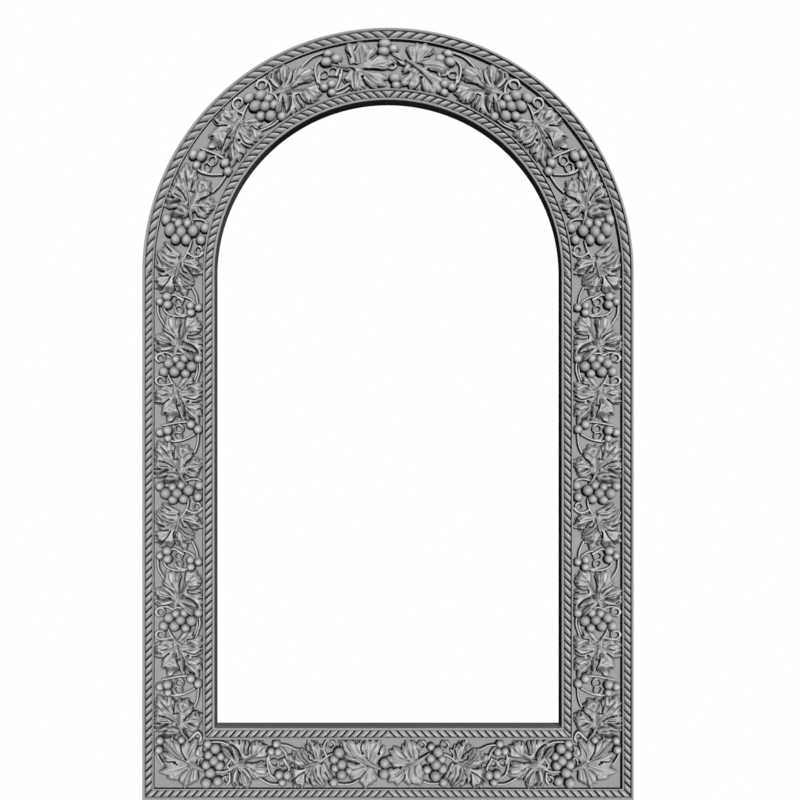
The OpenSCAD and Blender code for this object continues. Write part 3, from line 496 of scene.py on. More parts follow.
clusterA = joined(leafP, leafQ, {
    "grapes": [
        (57.7, 26.5, 5.3), (65.7, 21.5, 5), (53.7, 33.5, 4.5), (65.7, 32, 5.6), (59.7, 38, 5.4),
        (52.7, 42, 4.7), (67.7, 43, 4.8), (60.7, 49, 5.5), (52.7, 56, 4.7)],
    "rings": [(51.7, 18, 4.6), (74.7, 18, 4.8)],
    "stems": [
        [(48.5, 29), (46.6, 23), (47.4, 17), (51.7, 12.8), (56, 16)],
        [(70.4, 21), (71, 16), (74.7, 12.8), (79, 17), (78.6, 25), (77.5, 29)],
        [(62, 25), (70, 26), (76, 29), (82, 34)], [(50, 29), (47.6, 34), (48, 40)],
        [(56, 57), (64, 57.4), (71, 55.6), (78, 53)], [(58, 54.6), (66, 54.6), (74, 52)]],
    "eyes": [(51.2, 51.8, 1.2), (95.6, 46, 1.2)],
})
clusterB = joined(leafR, leafT, {
    "grapes": [
        (53.4, 17.5, 4.7), (60.4, 23.5, 5.7), (54.4, 30, 4.5), (66.4, 30.5, 5), (60.4, 34.5, 5.6),
        (52.4, 39, 4.5), (65.9, 41, 5), (57.4, 46, 5.5), (52.4, 57, 4.9), (63.9, 55.5, 4.8)],
    "rings": [(73.4, 54.5, 4.2)],
    "stems": [
        [(47.4, 44), (46, 50), (46.4, 55), (48.5, 59)], [(66.4, 46), (73.4, 45), (81.4, 41)],
        [(77, 44), (79.4, 50), (78.8, 56), (75, 60)]],
    "eyes": [(96.8, 53.2, 1.1)],
})
# Stems and rings across the joint before the first cluster, and before the second one
linkS = {
    "grapes": [
        (-4.3, 17.5, 4.2), (-9.3, 24.5, 4.8), (-1.3, 25, 4.8), (-0.3, 48, 4.5), (6.7, 48.5, 4.3),
        (1.7, 56, 4.2)],
    "rings": [(-4.4, 36, 4.6), (4, 36.5, 4.6, 0.5)],
    "stems": [
        [(8.4, 49), (9.2, 43), (8.2, 36)], [(-0.3, 15), (8.7, 16), (17.7, 21)],
        [(-0.3, 20), (6.7, 24), (9.7, 31), (10.7, 42)],
        [(-9.3, 28), (-11.3, 31), (-8.3, 37), (-6.3, 41)],
        [(-9.3, 41), (-7.3, 47), (-3.3, 52), (0.7, 54)], [(-18.3, 50), (-9.3, 54), (-1.3, 55)]],
}
linkD = {
    "grapes": [
        (-0.6, 17.5, 4.5), (-2.6, 25, 4.9), (5.4, 25.5, 4), (-8.6, 48.5, 4.7), (-3.6, 55.5, 4.6)],
    "rings": [(-4.4, 36.5, 4.8), (3.2, 35.5, 4.8, 0.5)],
    "stems": [
        [(-7.6, 20), (-9.3, 29), (-10.6, 36), (-11.3, 44)],
        [(6.4, 24), (8.4, 32), (6.4, 42), (1.4, 52)], [(1.4, 56), (11.4, 55), (19.4, 52)]],
}
# The crown's leaves: the left one points to the centre line, the right one (here mirrored) away
crownLeft = {
    "flutes": [
        (21, 33, 15, 26, 11, 19.5, 2.2), (23, 32, 18.5, 22, 19.5, 13, 2.0),
        (25, 32, 22, 21, 22, 12.2, 2.2), (28, 31, 26.5, 21, 27, 13.5, 1.8),
        (30, 31, 29.5, 21, 29.5, 12, 1.8), (24, 36, 10, 31.5, 2, 28.5, 2.4),
        (24, 37, 9, 35, -2.5, 34.5, 2.4), (23, 38, 10, 38, 0, 39.5, 1.8),
        (26, 41, 13, 46, 1, 50, 2.4), (26, 42, 15, 50, 3.5, 56.5, 2.6),
        (27, 43, 18.5, 51, 11, 59, 2.2), (28, 42, 25.5, 52, 23.5, 60, 2.2),
        (30, 42, 28.5, 52, 28, 60, 2.2), (31, 42, 31.5, 51, 32.5, 59.5, 1.9),
        (31, 40, 35, 45, 37.5, 49.5, 2.2), (47, 28, 36, 35, 22, 37.5, 1.8),
        (30, 38, 27, 39, 24, 44, 3.0)],
    "cuts": [
        (2.2, 1.2, [(6.8, 43.7), (10.7, 41.8), (13.4, 41.5)]),
        (1.8, 1.0, [(-2.3, 47.5), (2.7, 47.4), (5.4, 46.4)]),
        (1.8, 1.0, [(7.7, 26), (10.7, 29.5), (13.2, 31.8)]),
        (2.0, 1.0, [(23.7, 16.5), (25.9, 20.7)]),
        (2.2, 1.1, [(32.7, 19.5), (30.7, 22.5), (29.7, 26.4)]),
        (2.4, 1.2, [(23.2, 46.5), (22.2, 50), (19.7, 56), (16.7, 60.5)]),
        (1.8, 0.9, [(22.2, 59), (24.4, 57.5)]),
        (2.0, 1.1, [(32.7, 36.5), (29.7, 38.2), (28.2, 41)]),
        (2.0, 1.0, [(38.7, 46.8), (36.4, 51), (34.4, 55), (32.4, 60)]),
        (0.8, 0.9, [(-1, 34.5), (6, 36.6), (13, 37.4)]),
        (1.0, 1.0, [(4.7, 39.6), (11, 38.7), (17, 38.4)]),
        (0.9, 1.0, [(20.7, 42), (16, 47), (8.7, 53.5)]),
        (0.9, 0.9, [(22, 43), (17.5, 50), (13, 58)]),
        (0.9, 0.9, [(26.7, 42), (26.2, 50), (25.7, 57)]),
        (0.9, 1.0, [(29.7, 43), (31, 49), (31.7, 56)]),
        (1.0, 1.8, [(18.7, 32), (18.5, 25), (20, 18)]),
        (0.9, 1.0, [(26.2, 31), (27, 23), (27.5, 14)]),
        (1.2, 1.0, [(33, 38), (36, 36), (42, 32.6)])],
    "veins": [
        (0.7, 1.0, [(21.2, 34), (21.4, 24), (21.2, 13)]), (0.5, 1.0, [(24.5, 31), (24.8, 24)]),
        (0.9, 1.3, [(45, 29), (37, 34.6), (30, 37), (20, 38.2), (8, 40.4)]),
        (0.5, 1.2, [(27.6, 42), (29, 50), (30, 57)]),
        (0.5, 1.1, [(23, 41), (17, 48), (10.5, 55.5)])],
    "grapes": [(2.5, 15.7, 5), (3.4, 23, 5), (-3.9, 20.5, 4.3)],
    "stems": [[(38, 33), (40.5, 42), (46, 51), (50, 56)], [(36, 56), (43, 59), (50, 58.5)]],
    "eyes": [(7.5, 42.8, 1.2), (9.5, 42, 1.3), (11.5, 41.3, 1.2), (22.3, 47, 1.2)],
}
crownRight = {
    "flutes": [
        (22, 31.5, 18.5, 24, 17.5, 16, 2.2), (24, 31, 23, 22, 22, 13.5, 2.0),
        (26, 31, 27, 21, 28, 12.6, 2.2), (28, 31, 31, 22, 33.5, 14.5, 2.0),
        (30, 32, 36, 26, 43, 20, 2.2), (31, 34, 39, 29, 47, 24.5, 2.2),
        (32, 36, 40, 32.5, 49, 31, 2.2), (32, 37, 41, 35.5, 48, 36.5, 1.9),
        (31, 40, 42, 44, 50, 47.5, 2.2), (30, 41, 40.5, 49.5, 50.5, 56.5, 2.6),
        (29, 42, 37, 52, 44, 60, 2.4), (28, 42, 33, 52, 37.5, 60, 2.1),
        (26, 42, 26, 52, 29.5, 59.5, 2.0), (24, 42, 22.5, 52, 21, 59.5, 2.2),
        (22, 41, 17, 50, 12.5, 56.5, 2.4), (19, 32, 17, 37, 13, 44, 1.7),
        (17, 36, 9, 34, 3, 33, 1.6), (4, 25, 20, 34.5, 40, 44, 1.6), (25, 36, 23, 40, 22, 45, 3.0)],
    "cuts": [
        (2.2, 1.1, [(4.7, 31), (8.2, 34.3), (10.2, 36.8)]),
        (2.2, 1.0, [(8.2, 34.3), (5.7, 38), (3.5, 39.8)]),
        (1.4, 1.0, [(13.2, 30), (14.2, 33), (14.2, 36.5), (12.6, 40)]),
        (2.2, 1.1, [(12.7, 44), (11.2, 49), (9.7, 53.5)]),
        (2.0, 1.0, [(8.7, 55.3), (12.7, 57.8), (18.7, 57.4)]),
        (2.2, 1.2, [(29, 46.5), (28.8, 52), (26.5, 57.5)]),
        (1.6, 0.9, [(30.7, 55.5), (32.7, 60)]),
        (2.4, 1.3, [(33.7, 37.4), (37.7, 40.2), (41.7, 41.6), (46.5, 41)]),
        (1.0, 0.8, [(4, 25.6), (10, 29), (14, 32.6), (22, 38.6), (32, 45.6), (38.5, 52)]),
        (1.2, 1.0, [(19.2, 26.5), (18.2, 20)]), (2.0, 1.0, [(33.7, 20), (34.7, 15)]),
        (0.9, 0.9, [(20.7, 40.5), (16.7, 45.5), (13.7, 49.5)]),
        (1.0, 2.6, [(14.5, 53), (19, 52.6), (24.5, 52)]), (0.9, 0.9, [(31.5, 48), (34, 55)]),
        (0.9, 1.0, [(36.5, 48), (41.5, 56)]), (0.9, 0.9, [(25.7, 32), (31.7, 28), (37.5, 23.5)]),
        (0.8, 0.9, [(27.7, 34.5), (36.7, 33), (44, 33)]),
        (1.8, 1.0, [(28.7, 27), (34.7, 23), (37.7, 21.3)]),
        (0.8, 1.0, [(23, 32), (22.6, 24), (24.5, 16)])],
    "veins": [
        (0.9, 1.2, [(5.7, 23.6), (10.7, 27), (14.5, 30.6), (22.7, 36.6), (32.7, 43.6), (40, 50.4)]),
        (0.5, 1.1, [(25, 33), (29, 25), (33, 18)]), (0.5, 1.1, [(26, 42), (22, 50), (19, 57)]),
        (0.5, 1.1, [(30, 36), (38, 34.6), (46, 34.8)])],
    "grapes": [(5.9, 50, 5.3), (7.4, 57, 4.5)],
    "rings": [(3, 37, 4.2)],
    "stems": [[(4, 24.5), (9, 27), (16, 32)]],
    "eyes": [(34, 38.2, 1.6), (29.4, 46.6, 1.3), (12.5, 43.5, 1.3), (36.5, 40, 1.2)],
}
# The middle of the bottom rail, its left half and then its right half (mirrored)
railLeft = {
    "flutes": [
        (17, 32, 15.5, 25, 12.5, 19.5, 2.2), (18, 32, 18, 23, 17, 16, 2.4),
        (19, 32, 21.5, 22, 22.5, 12, 2.4), (21, 31, 25, 23, 26.5, 16.5, 2.4),
        (22, 32, 30, 26, 37, 21, 2.4), (23, 33, 33, 29, 43, 26, 2.4),
        (23, 35, 33, 33, 42, 37, 2.0), (20, 35.5, 26, 36, 31, 38.5, 1.6),
        (22, 38, 33, 41, 44, 44.5, 2.0), (22, 39, 35, 47, 46, 52, 2.2),
        (22, 39, 35, 50, 48.5, 58, 2.4), (22, 39, 32, 51, 40, 58.5, 2.4),
        (21, 39, 29.5, 51, 33, 59, 2.4), (20, 39, 25.5, 49, 27, 58, 2.0),
        (19, 39, 20.5, 50, 21, 59.5, 2.2), (17, 38, 16, 50, 15, 60, 2.4),
        (16, 38, 12.5, 49, 9, 58.5, 2.2), (14, 37, 9, 44, 4.5, 52.5, 2.2),
        (6, 31, 15, 35, 27, 41, 2.0), (16, 35, 19, 37, 22, 40, 3.0)],
    "cuts": [
        (1.8, 1.1, [(28.3, 37), (31, 36.6), (35, 38.5), (41, 40)]),
        (2.0, 1.0, [(8.7, 46), (8.5, 50), (6, 54), (0, 53.5)]),
        (2.0, 1.1, [(26, 47.5), (27.2, 53), (25.5, 59)]),
        (1.4, 1.0, [(29, 21), (26, 24.5), (22.5, 28.5)]), (0.8, 0.9, [(15.5, 21), (17, 29)]),
        (0.8, 0.9, [(22.4, 18), (21, 28)]), (0.7, 0.9, [(12, 23), (15.5, 29)]),
        (1.2, 0.9, [(9, 33.6), (15, 37), (20, 40.6), (24, 46), (25.4, 50)]),
        (0.9, 0.9, [(28.4, 47), (31, 52), (33, 58)]),
        (0.8, 0.9, [(24, 30.4), (30, 26), (36.4, 23.4)]),
        (0.8, 0.9, [(24.5, 33), (33, 31), (41, 29.6)]),
        (1.3, 1.0, [(31, 42.4), (38, 43.5), (46, 46.5)]),
        (1.8, 0.9, [(29.3, 58.6), (32, 56.4), (33.2, 59.4)]),
        (1.8, 1.0, [(45, 52), (46, 56.6), (49.6, 58)]),
        (0.9, 0.9, [(33, 45), (38, 50), (42.5, 56)]),
        (0.9, 1.0, [(18.4, 40), (16.6, 48), (11.6, 56)]),
        (0.8, 0.9, [(21, 42), (21.6, 50), (20, 57)])],
    "veins": [
        (0.9, 1.2, [(7, 30.4), (14, 33.6), (21, 37.2), (29, 41.2), (35, 47), (40, 56)]),
        (0.5, 1.1, [(20, 31), (23.6, 22)]), (0.5, 1.1, [(16, 40), (13, 48)]),
        (0.5, 1.1, [(23.4, 43), (24, 52)])],
    "grapes": [
        (4, 26, 5.5), (3.5, 37, 5.3), (54.5, 17.5, 4.7), (46.5, 25.5, 5.5), (38.5, 29.5, 4.5),
        (46.5, 35.5, 5.3), (53, 32, 4.6), (54, 41, 5), (49, 47.5, 5.5)],
    "rings": [(57, 55, 4.4)],
    "stems": [
        [(29, 20), (35, 16.5), (43, 15), (52, 16)], [(54, 46.5), (61, 43.5), (68, 38)],
        [(62, 44), (64.4, 51), (63, 57), (60, 60)]],
    "eyes": [(25.5, 47, 1.3), (9.4, 46.8, 1.2)],
}
railRight = {
    "flutes": [
        (31, 36, 33, 29.5, 35, 23, 2.0), (29, 34, 29, 25, 33, 15, 2.6),
        (27, 33, 25, 24, 29, 15.5, 2.2), (25, 33, 21, 24, 21.5, 15, 2.2),
        (23, 33, 18.5, 26, 16.5, 18.5, 2.0), (20, 32, 12, 24, 9, 15, 2.4),
        (18, 32, 8, 25, 1, 18, 2.6), (17, 32.5, 8, 28.5, -2, 27, 2.6),
        (20, 36, 12, 35.5, 4, 35, 1.8), (20, 37, 10, 39.5, -2, 41, 2.4),
        (21, 38, 12, 44, 2, 48.5, 2.2), (22, 39, 14, 45, 6, 52, 2.0),
        (23, 40, 19, 45, 14.5, 49, 1.8), (25, 42, 19, 49, 15, 54, 2.0),
        (26, 42, 22.5, 51, 19, 60, 2.4), (27, 42, 26, 51, 25, 58, 2.0),
        (29, 42, 29.5, 49, 30, 55.5, 1.8), (42, 46, 30, 38.5, 18, 32, 1.6),
        (31, 38, 27, 37.5, 20, 36, 3.2)],
    "cuts": [
        (2.2, 1.2, [(5, 31.5), (9, 32.6), (13.6, 33)]),
        (2.2, 1.1, [(15.5, 20.5), (16.5, 23), (17.1, 25.6)]),
        (1.2, 1.5, [(27.5, 34), (26.5, 29), (29, 24), (33, 21.5)]),
        (1.2, 1.0, [(37, 22), (34.5, 26), (32.5, 31)]),
        (1.0, 0.9, [(41, 22.5), (37, 27), (34.8, 32)]),
        (0.9, 0.8, [(36, 41.6), (28, 37.4), (20, 32.6)]),
        (0.9, 0.9, [(21, 39.5), (12, 42.5), (5, 49)]),
        (1.4, 1.1, [(8.5, 52.3), (14, 47.5), (18, 42)]),
        (1.0, 1.0, [(23, 43), (19, 50), (16, 55)]), (0.8, 0.9, [(26, 43), (25, 50), (24, 57)]),
        (1.6, 1.1, [(31, 42), (31.5, 47), (29, 52)]), (0.8, 0.9, [(17, 31), (10, 25), (3, 21)]),
        (0.8, 0.9, [(16.5, 30.4), (14, 24), (10, 19)]),
        (0.9, 0.9, [(21.4, 31), (20.4, 25), (24, 18)])],
    "veins": [
        (0.9, 1.2, [(41, 46.4), (33, 42), (26, 37.6), (18, 32.6), (8, 26)]),
        (0.5, 1.1, [(23, 30), (22, 24), (25, 17.6)]),
        (0.5, 1.1, [(20, 37.6), (12, 38.4), (5, 41)]),
        (0.5, 1.1, [(24.6, 44), (21.4, 51), (20, 57)])],
    "grapes": [
        (47.5, 24, 5.7), (39, 30, 4.5), (54.5, 31, 5), (48, 35.5, 5.6), (43, 41.5, 5),
        (54, 41, 4.5), (50, 48, 5.5), (43, 53, 4), (55.5, 17.5, 4.7)],
    "rings": [(57, 55, 4.6), (34, 55, 4.4)],
    "stems": [
        [(36, 18), (43, 16), (52, 16.5)], [(56, 45.5), (62, 43), (68, 38)],
        [(66, 42), (66, 46), (63, 50)]],
    "eyes": [(12, 32.5, 1.5), (31.5, 44.5, 1.2)],
}
# The corner's own leaf and grapes: in from the outer edge, then up from the bottom
cornerOwn = {
    "flutes": [
        (50, 36, 36, 45, 20, 57, 2.4), (49, 38, 38, 46, 25, 59.5, 2.4),
        (48, 39, 39, 49, 31.5, 59, 2.2), (46, 37, 33, 41.5, 20, 46, 2.0),
        (46, 36, 34, 37, 21, 40, 1.8), (46, 35, 34, 33.5, 22, 36.5, 2.0),
        (46, 34, 33, 30, 18, 27.5, 2.6), (47, 34, 36, 27, 25.5, 22, 2.6),
        (47, 33, 37, 26, 31, 20.5, 2.4), (49, 33, 43.5, 25, 37, 17.5, 2.4),
        (50, 33, 46, 24, 42, 12.6, 2.4), (52, 33, 49.5, 24, 48, 16, 2.2),
        (53, 33, 53, 25, 52, 18, 2.0), (46, 40, 41.5, 48, 38, 55, 1.9),
        (47, 40, 44, 50, 45, 59.5, 2.2), (48, 40, 49, 50, 54, 59.5, 2.4),
        (50, 40, 53, 45, 59, 52.5, 2.2), (51, 38, 57, 44, 61, 45, 2.0),
        (61, 29, 54, 33, 46, 37.5, 2.2), (48, 36, 47, 39, 46, 44, 3.2)],
    "cuts": [
        (1.8, 1.2, [(44, 40.4), (40, 47), (38.4, 55), (38.4, 60)]),
        (0.9, 0.9, [(46, 42), (50, 50), (56, 58)]),
        (1.5, 0.9, [(54.7, 52), (53, 47), (54.7, 44.4)]),
        (2.0, 1.1, [(21, 40.7), (25, 38.4), (31, 38.6), (35, 35.8)]),
        (0.8, 1.0, [(46, 34), (36, 30), (24, 28)]), (0.9, 1.0, [(46, 33), (38, 27), (31, 22)]),
        (1.4, 1.0, [(45, 30.6), (38, 25), (36.8, 18)]),
        (0.8, 1.0, [(48, 31), (44, 24), (41, 16)]), (0.8, 1.0, [(50, 31), (48, 24), (47, 17)]),
        (0.7, 0.9, [(51.6, 30), (51, 22)]), (1.0, 2.4, [(35, 26.6), (31, 25)]),
        (0.9, 0.9, [(44, 40), (35, 46.6), (27, 56)]),
        (0.9, 1.0, [(40, 44), (33.6, 51), (31, 58)]),
        (0.9, 1.0, [(42, 39.4), (30, 43.6), (21, 49)]),
        (1.0, 0.9, [(56, 43), (58.6, 47), (57, 52)])],
    "veins": [
        (0.9, 1.3, [(63, 28.8), (54, 34), (46, 38.4), (36, 44), (28, 50.4), (22, 57)]),
        (0.5, 1.2, [(46.6, 40), (46.8, 48), (51, 57)]),
        (0.5, 1.1, [(44, 36.6), (32, 35.4), (22, 36.4)]),
        (0.5, 1.1, [(49, 32), (46, 24), (44.4, 16)])],
    "grapes": [
        (17.5, 59.4, 4.3), (16.4, 50, 4.3), (39, 60, 4), (65.5, 56, 4.7), (73, 51.5, 5.4),
        (66.3, 45, 4.7), (78.5, 43.5, 4.4), (72, 39.3, 5.4), (64, 35, 5), (77, 34.4, 5),
        (68, 27.3, 5.4), (64, 17, 5.4), (75.5, 18.5, 5)],
    "rings": [(84, 19.5, 4.4), (54.5, 63, 4.2)],
    "stems": [
        [(87, 27), (87.5, 21), (85, 15)], [(74, 28), (82, 28), (90, 31)],
        [(88, 30), (85, 34), (88, 39)], [(14, 46), (17, 40), (20.5, 35)],
        [(70, 58), (80, 57.5), (87, 54)], [(47, 60), (55, 68), (59, 62), (57, 58)],
        [(29, 68), (30, 64), (29.5, 60)], [(56, 36), (57, 41), (60, 41)]],
    "eyes": [(57.5, 37.5, 1.2), (32.5, 38, 1.1)],
}


def sideVine(n):
    if n % 2:
        return joined(clusterB, linkD, shifted(linkS, halfPx))
    return joined(clusterA, linkS, shifted(linkD, halfPx))


# Heights above the frieze's ground in millimetres; radii, half widths and margins in pixels
relief = {
    "cell": 0.26, "ground": 2.5, "stipple": 0.06, "stipplePx": 2.05, "under": 0.1,
    # a flute's half width and height at shares of its length, in steps, and how its flanks fall
    "spineSteps": 16,
    "wideAlong": ([0, 0.3, 0.75, 0.92, 1], [0.7, 0.95, 1.55, 1.15, 0.55]),
    "riseAlong": ([0, 0.25, 0.6, 0.85, 1], [2.2, 2.7, 3.7, 3.2, 2.1]),
    "drop": 0.26, "dropBy": 0.4, "dropCurve": 1.6, "edge": 5, "leafFrom": 1.1,
    "blend": 20, "rim": 42, "pillow": 0.65, "hollow": 0.9, "hollowWide": 1.3,
    # deep cuts are narrow, shallow ones are soft folds
    "cutFrom": 1.32, "cutWide": 0.72, "cutCurve": 1.1, "veinCurve": 0.8,
    "foldBelow": 1.5, "foldWide": 1.25, "foldShare": 0.42,
    "stemTop": 2.0, "stemHalf": 1.15, "ringHalf": 0.66, "ringOut": 0.4, "ringSteps": 26,
    "coil": 0.66, "turns": 1.25, "eye": 0.65, "eyeFloor": 0.2, "eyeWall": 4,
    "grapeTop": 5.0, "grapeR": 5.5, "grapeStep": 0.2,
}


def spineOf(spine):
    base, middle, tip = np.array(spine[0:2]), np.array(spine[2:4]), np.array(spine[4:6])
    bend = 2 * middle - (base + tip) / 2
    s = np.linspace(0, 1, relief["spineSteps"])[:, None]
    return (1 - s) ** 2 * base + 2 * s * (1 - s) * bend + s ** 2 * tip


def smoothLine(points, steps=6):
    p = [np.array(q, float) for q in points]
    p = [p[0]] + p + [p[-1]]
    line = []
    for i in range(1, len(p) - 2):
        for s in np.arange(steps) / steps:
            line.append(0.5 * (2 * p[i] + (p[i + 1] - p[i - 1]) * s
                               + (2 * p[i - 1] - 5 * p[i] + 4 * p[i + 1] - p[i + 2]) * s ** 2
                               + (3 * p[i] - p[i - 1] - 3 * p[i + 1] + p[i + 2]) * s ** 3))
    return np.array(line + [p[-1]])


def nearest(along, across, line):
    # distance to the line, and the share of its length at the nearest point
    best = np.full(along.shape, 1e9)
    share = np.zeros(along.shape)
    count = len(line) - 1
    for i in range(count):
        start, run = line[i], line[i + 1] - line[i]
        k = np.clip(((along - start[0]) * run[0] + (across - start[1]) * run[1]) / (run @ run), 0, 1)
        gap = (along - start[0] - k * run[0]) ** 2 + (across - start[1] - k * run[1]) ** 2
        near = gap < best
        best = np.where(near, gap, best)
        share = np.where(near, (i + k) / count, share)
    return np.sqrt(best), share


def eased(share):
    return share ** 2 * (3 - 2 * share)


def softened(field, times):
    for _ in range(times):
        wide = np.pad(field, 1, mode="edge")
        field = (wide[:-2, 1:-1] + wide[2:, 1:-1] + wide[1:-1, :-2] + wide[1:-1, 2:] + 4 * field) / 8
    return field


def carve(alongLine, acrossLine, features):
    # the relief's height over a grid, and how far a leaf's broad form swells or sinks there
    r = relief
    along, across = np.meshgrid(alongLine, acrossLine)
    turn = 2 * math.pi / r["stipplePx"]
    height = r["stipple"] * np.sin(along * turn) * np.sin(across * turn)

    def window(points, margin):
        low, high = np.min(points, 0) - margin, np.max(points, 0) + margin
        cols = np.flatnonzero((alongLine >= low[0]) & (alongLine <= high[0]))
        rows = np.flatnonzero((acrossLine >= low[1]) & (acrossLine <= high[1]))
        if len(cols) == 0 or len(rows) == 0:
            return None
        return slice(rows[0], rows[-1] + 1), slice(cols[0], cols[-1] + 1)

    def raiseTo(part, value):
        height[part] = np.maximum(height[part], value)

    def layTube(part, gap, half):
        tube = np.clip(1 - (gap / half) ** 4, 0, 1)
        raiseTo(part, np.where(gap < half, r["stemTop"] * (0.5 + 0.5 * tube), 0))

    for *spine, wide in features["flutes"]:
        line = spineOf(spine)
        part = window(line, wide * max(r["wideAlong"][1]) + 1)
        if part:
            gap, share = nearest(along[part], across[part], line)
            half = wide * np.interp(share, *r["wideAlong"])
            flank = np.clip(share / r["dropBy"], 0, 1) * np.clip(gap / half, 0, 1) ** r["dropCurve"]
            top = np.interp(share, *r["riseAlong"]) * (1 - r["drop"] * flank)
            raiseTo(part, top - np.clip(gap - half, 0, None) * r["edge"])
    leaf = (height > r["leafFrom"]).astype(float)
    blended = softened(height * leaf, r["blend"]) / np.maximum(softened(leaf, r["blend"]), 0.01)
    height = np.where(leaf > 0, blended * (1 - r["pillow"] * (1 - softened(leaf, r["rim"]))), height)

    broad = np.zeros_like(height)
    for rise, half, line in features["planes"]:
        half *= 1 if rise > 0 else r["hollowWide"]
        part = window(line, half + 1)
        if part:
            gap = nearest(along[part], across[part], smoothLine(line, 4))[0]
            swell = leaf[part] * rise * eased(np.clip(1 - gap / half, 0, 1))
            height[part] += swell * (1 if rise > 0 else r["hollow"])
            broad[part] += swell

    for rise, half, line in features["veins"]:
        part = window(line, half + 1)
        if part:
            gap = nearest(along[part], across[part], smoothLine(line, 4))[0]
            ridge = rise * np.clip(1 - gap / half, 0, 1) ** r["veinCurve"]
            height[part] += np.where(height[part] > r["cutFrom"], ridge, 0)
    for deep, half, line in features["cuts"]:
        part = window(line, half + 1)
        if part:
            gap = nearest(along[part], across[part], smoothLine(line, 4))[0]
            if deep < r["foldBelow"]:
                groove = deep * r["foldShare"] * eased(np.clip(1 - gap / (half * r["foldWide"]), 0, 1))
            else:
                groove = deep * np.clip(1 - gap / (half * r["cutWide"]), 0, 1) ** r["cutCurve"]
            height[part] -= np.where(height[part] > r["cutFrom"], groove, 0)
    height[:] = np.maximum(height, -r["under"])

    for stem in features["stems"]:
        part = window(stem, 3)
        if part:
            layTube(part, nearest(along[part], across[part], smoothLine(stem))[0], r["stemHalf"])
    for a, t, radius, *start in features["rings"]:
        part = window([(a, t)], radius + 2)
        if part:
            wind = 2 * math.pi * np.linspace(sum(start), sum(start) + r["turns"], r["ringSteps"])
            inwards = (1 - r["coil"]) * np.linspace(0, 1, r["ringSteps"]) ** 2
            reach = (radius - r["ringHalf"] + r["ringOut"]) * (1 - inwards)
            spiral = np.stack([a - reach * np.cos(wind), t + reach * np.sin(wind)], 1)
            layTube(part, nearest(along[part], across[part], spiral)[0], r["ringHalf"])
    for a, t, wide in features["eyes"]:
        radius = wide * r["eye"]
        part = window([(a, t)], radius + 2)
        if part:
            gap = np.hypot(along[part] - a, across[part] - t)
            wall = r["eyeFloor"] + np.clip((gap - radius) * r["eyeWall"], 0, None)
            height[part] = np.minimum(height[part], wall)
    for a, t, radius in features["grapes"]:
        part = window([(a, t)], radius + 1)
        if part:
            gap = np.hypot(along[part] - a, across[part] - t)
            ball = np.sqrt(np.clip(radius ** 2 - gap ** 2, 0, None)) * px
            low = r["grapeTop"] - r["grapeR"] * px + (radius - r["grapeR"]) * r["grapeStep"]
            height[part] = np.where(gap < radius, np.maximum(height[part], low + ball), height[part])
            broad[part] = np.where(gap < radius, 0, broad[part])
    return height, broad


# Painted highlight on raised and convex carving, and painted shade in cuts, hollows, on slopes and on sides
# away from the light
paintedLight = {
    "raisedFrom": 0.3, "raisedTo": 1.2, "plane": 0.4, "crestMm": 0.9, "swell": 0.4, "tallMm": 4, "tall": 0.52,
    # painted shade in narrow cuts and broad hollows, and on steep flanks
    "nearPasses": 18, "cutMm": 0.55, "farPasses": 60, "deepMm": 0.7, "deepShare": 0.03, "dipShare": 0.6,
    "hollow": 0.6, "slope": 7, "wall": 0.42, "steepFrom": 0.55, "steepRange": 0.3,
    # painted shadow on the side away from the light, or on a form's undercut side
    "openSide": 0.05, "shadowSidePower": 1.6, "lightX": 0.45, "lightZ": 0.89, "undercut": 0.95, "underT": 0.75,
    "underA": 0.66, "leastSlope": 0.05,
}


def facingOf(height, alongMm, acrossMm):
    slopeT = np.gradient(height, acrossMm, axis=0)
    slopeA = np.gradient(height, alongMm, axis=1)
    return 1 / np.sqrt(1 + slopeT ** 2 + slopeA ** 2)


def shadowSideOf(height, x, z, cell):
    # painted shadow mask: 1 at the foot of a form's lower left or its undercut side, 0 at the foot of the
    # other sides
    low = softened(height, paintedLight["nearPasses"])
    rise = [np.gradient(low, cell, axis=n) for n in (0, 1)]
    toLight = []
    for n in (0, 1):
        alongX, alongZ = np.gradient(x, axis=n), np.gradient(z, axis=n)
        reach = np.hypot(alongX, alongZ)
        toLight.append((alongX * paintedLight["lightX"] + alongZ * paintedLight["lightZ"]) / reach)
    slope = np.maximum(np.hypot(*rise), paintedLight["leastSlope"])
    shadowSide = 0.5 + 0.5 * (rise[0] * toLight[0] + rise[1] * toLight[1]) / slope
    undercut = 0.5 - 0.5 * (rise[0] * paintedLight["underT"] + rise[1] * paintedLight["underA"]) / slope
    return np.clip(np.maximum(shadowSide, paintedLight["undercut"] * undercut), 0, 1) ** paintedLight["shadowSidePower"]


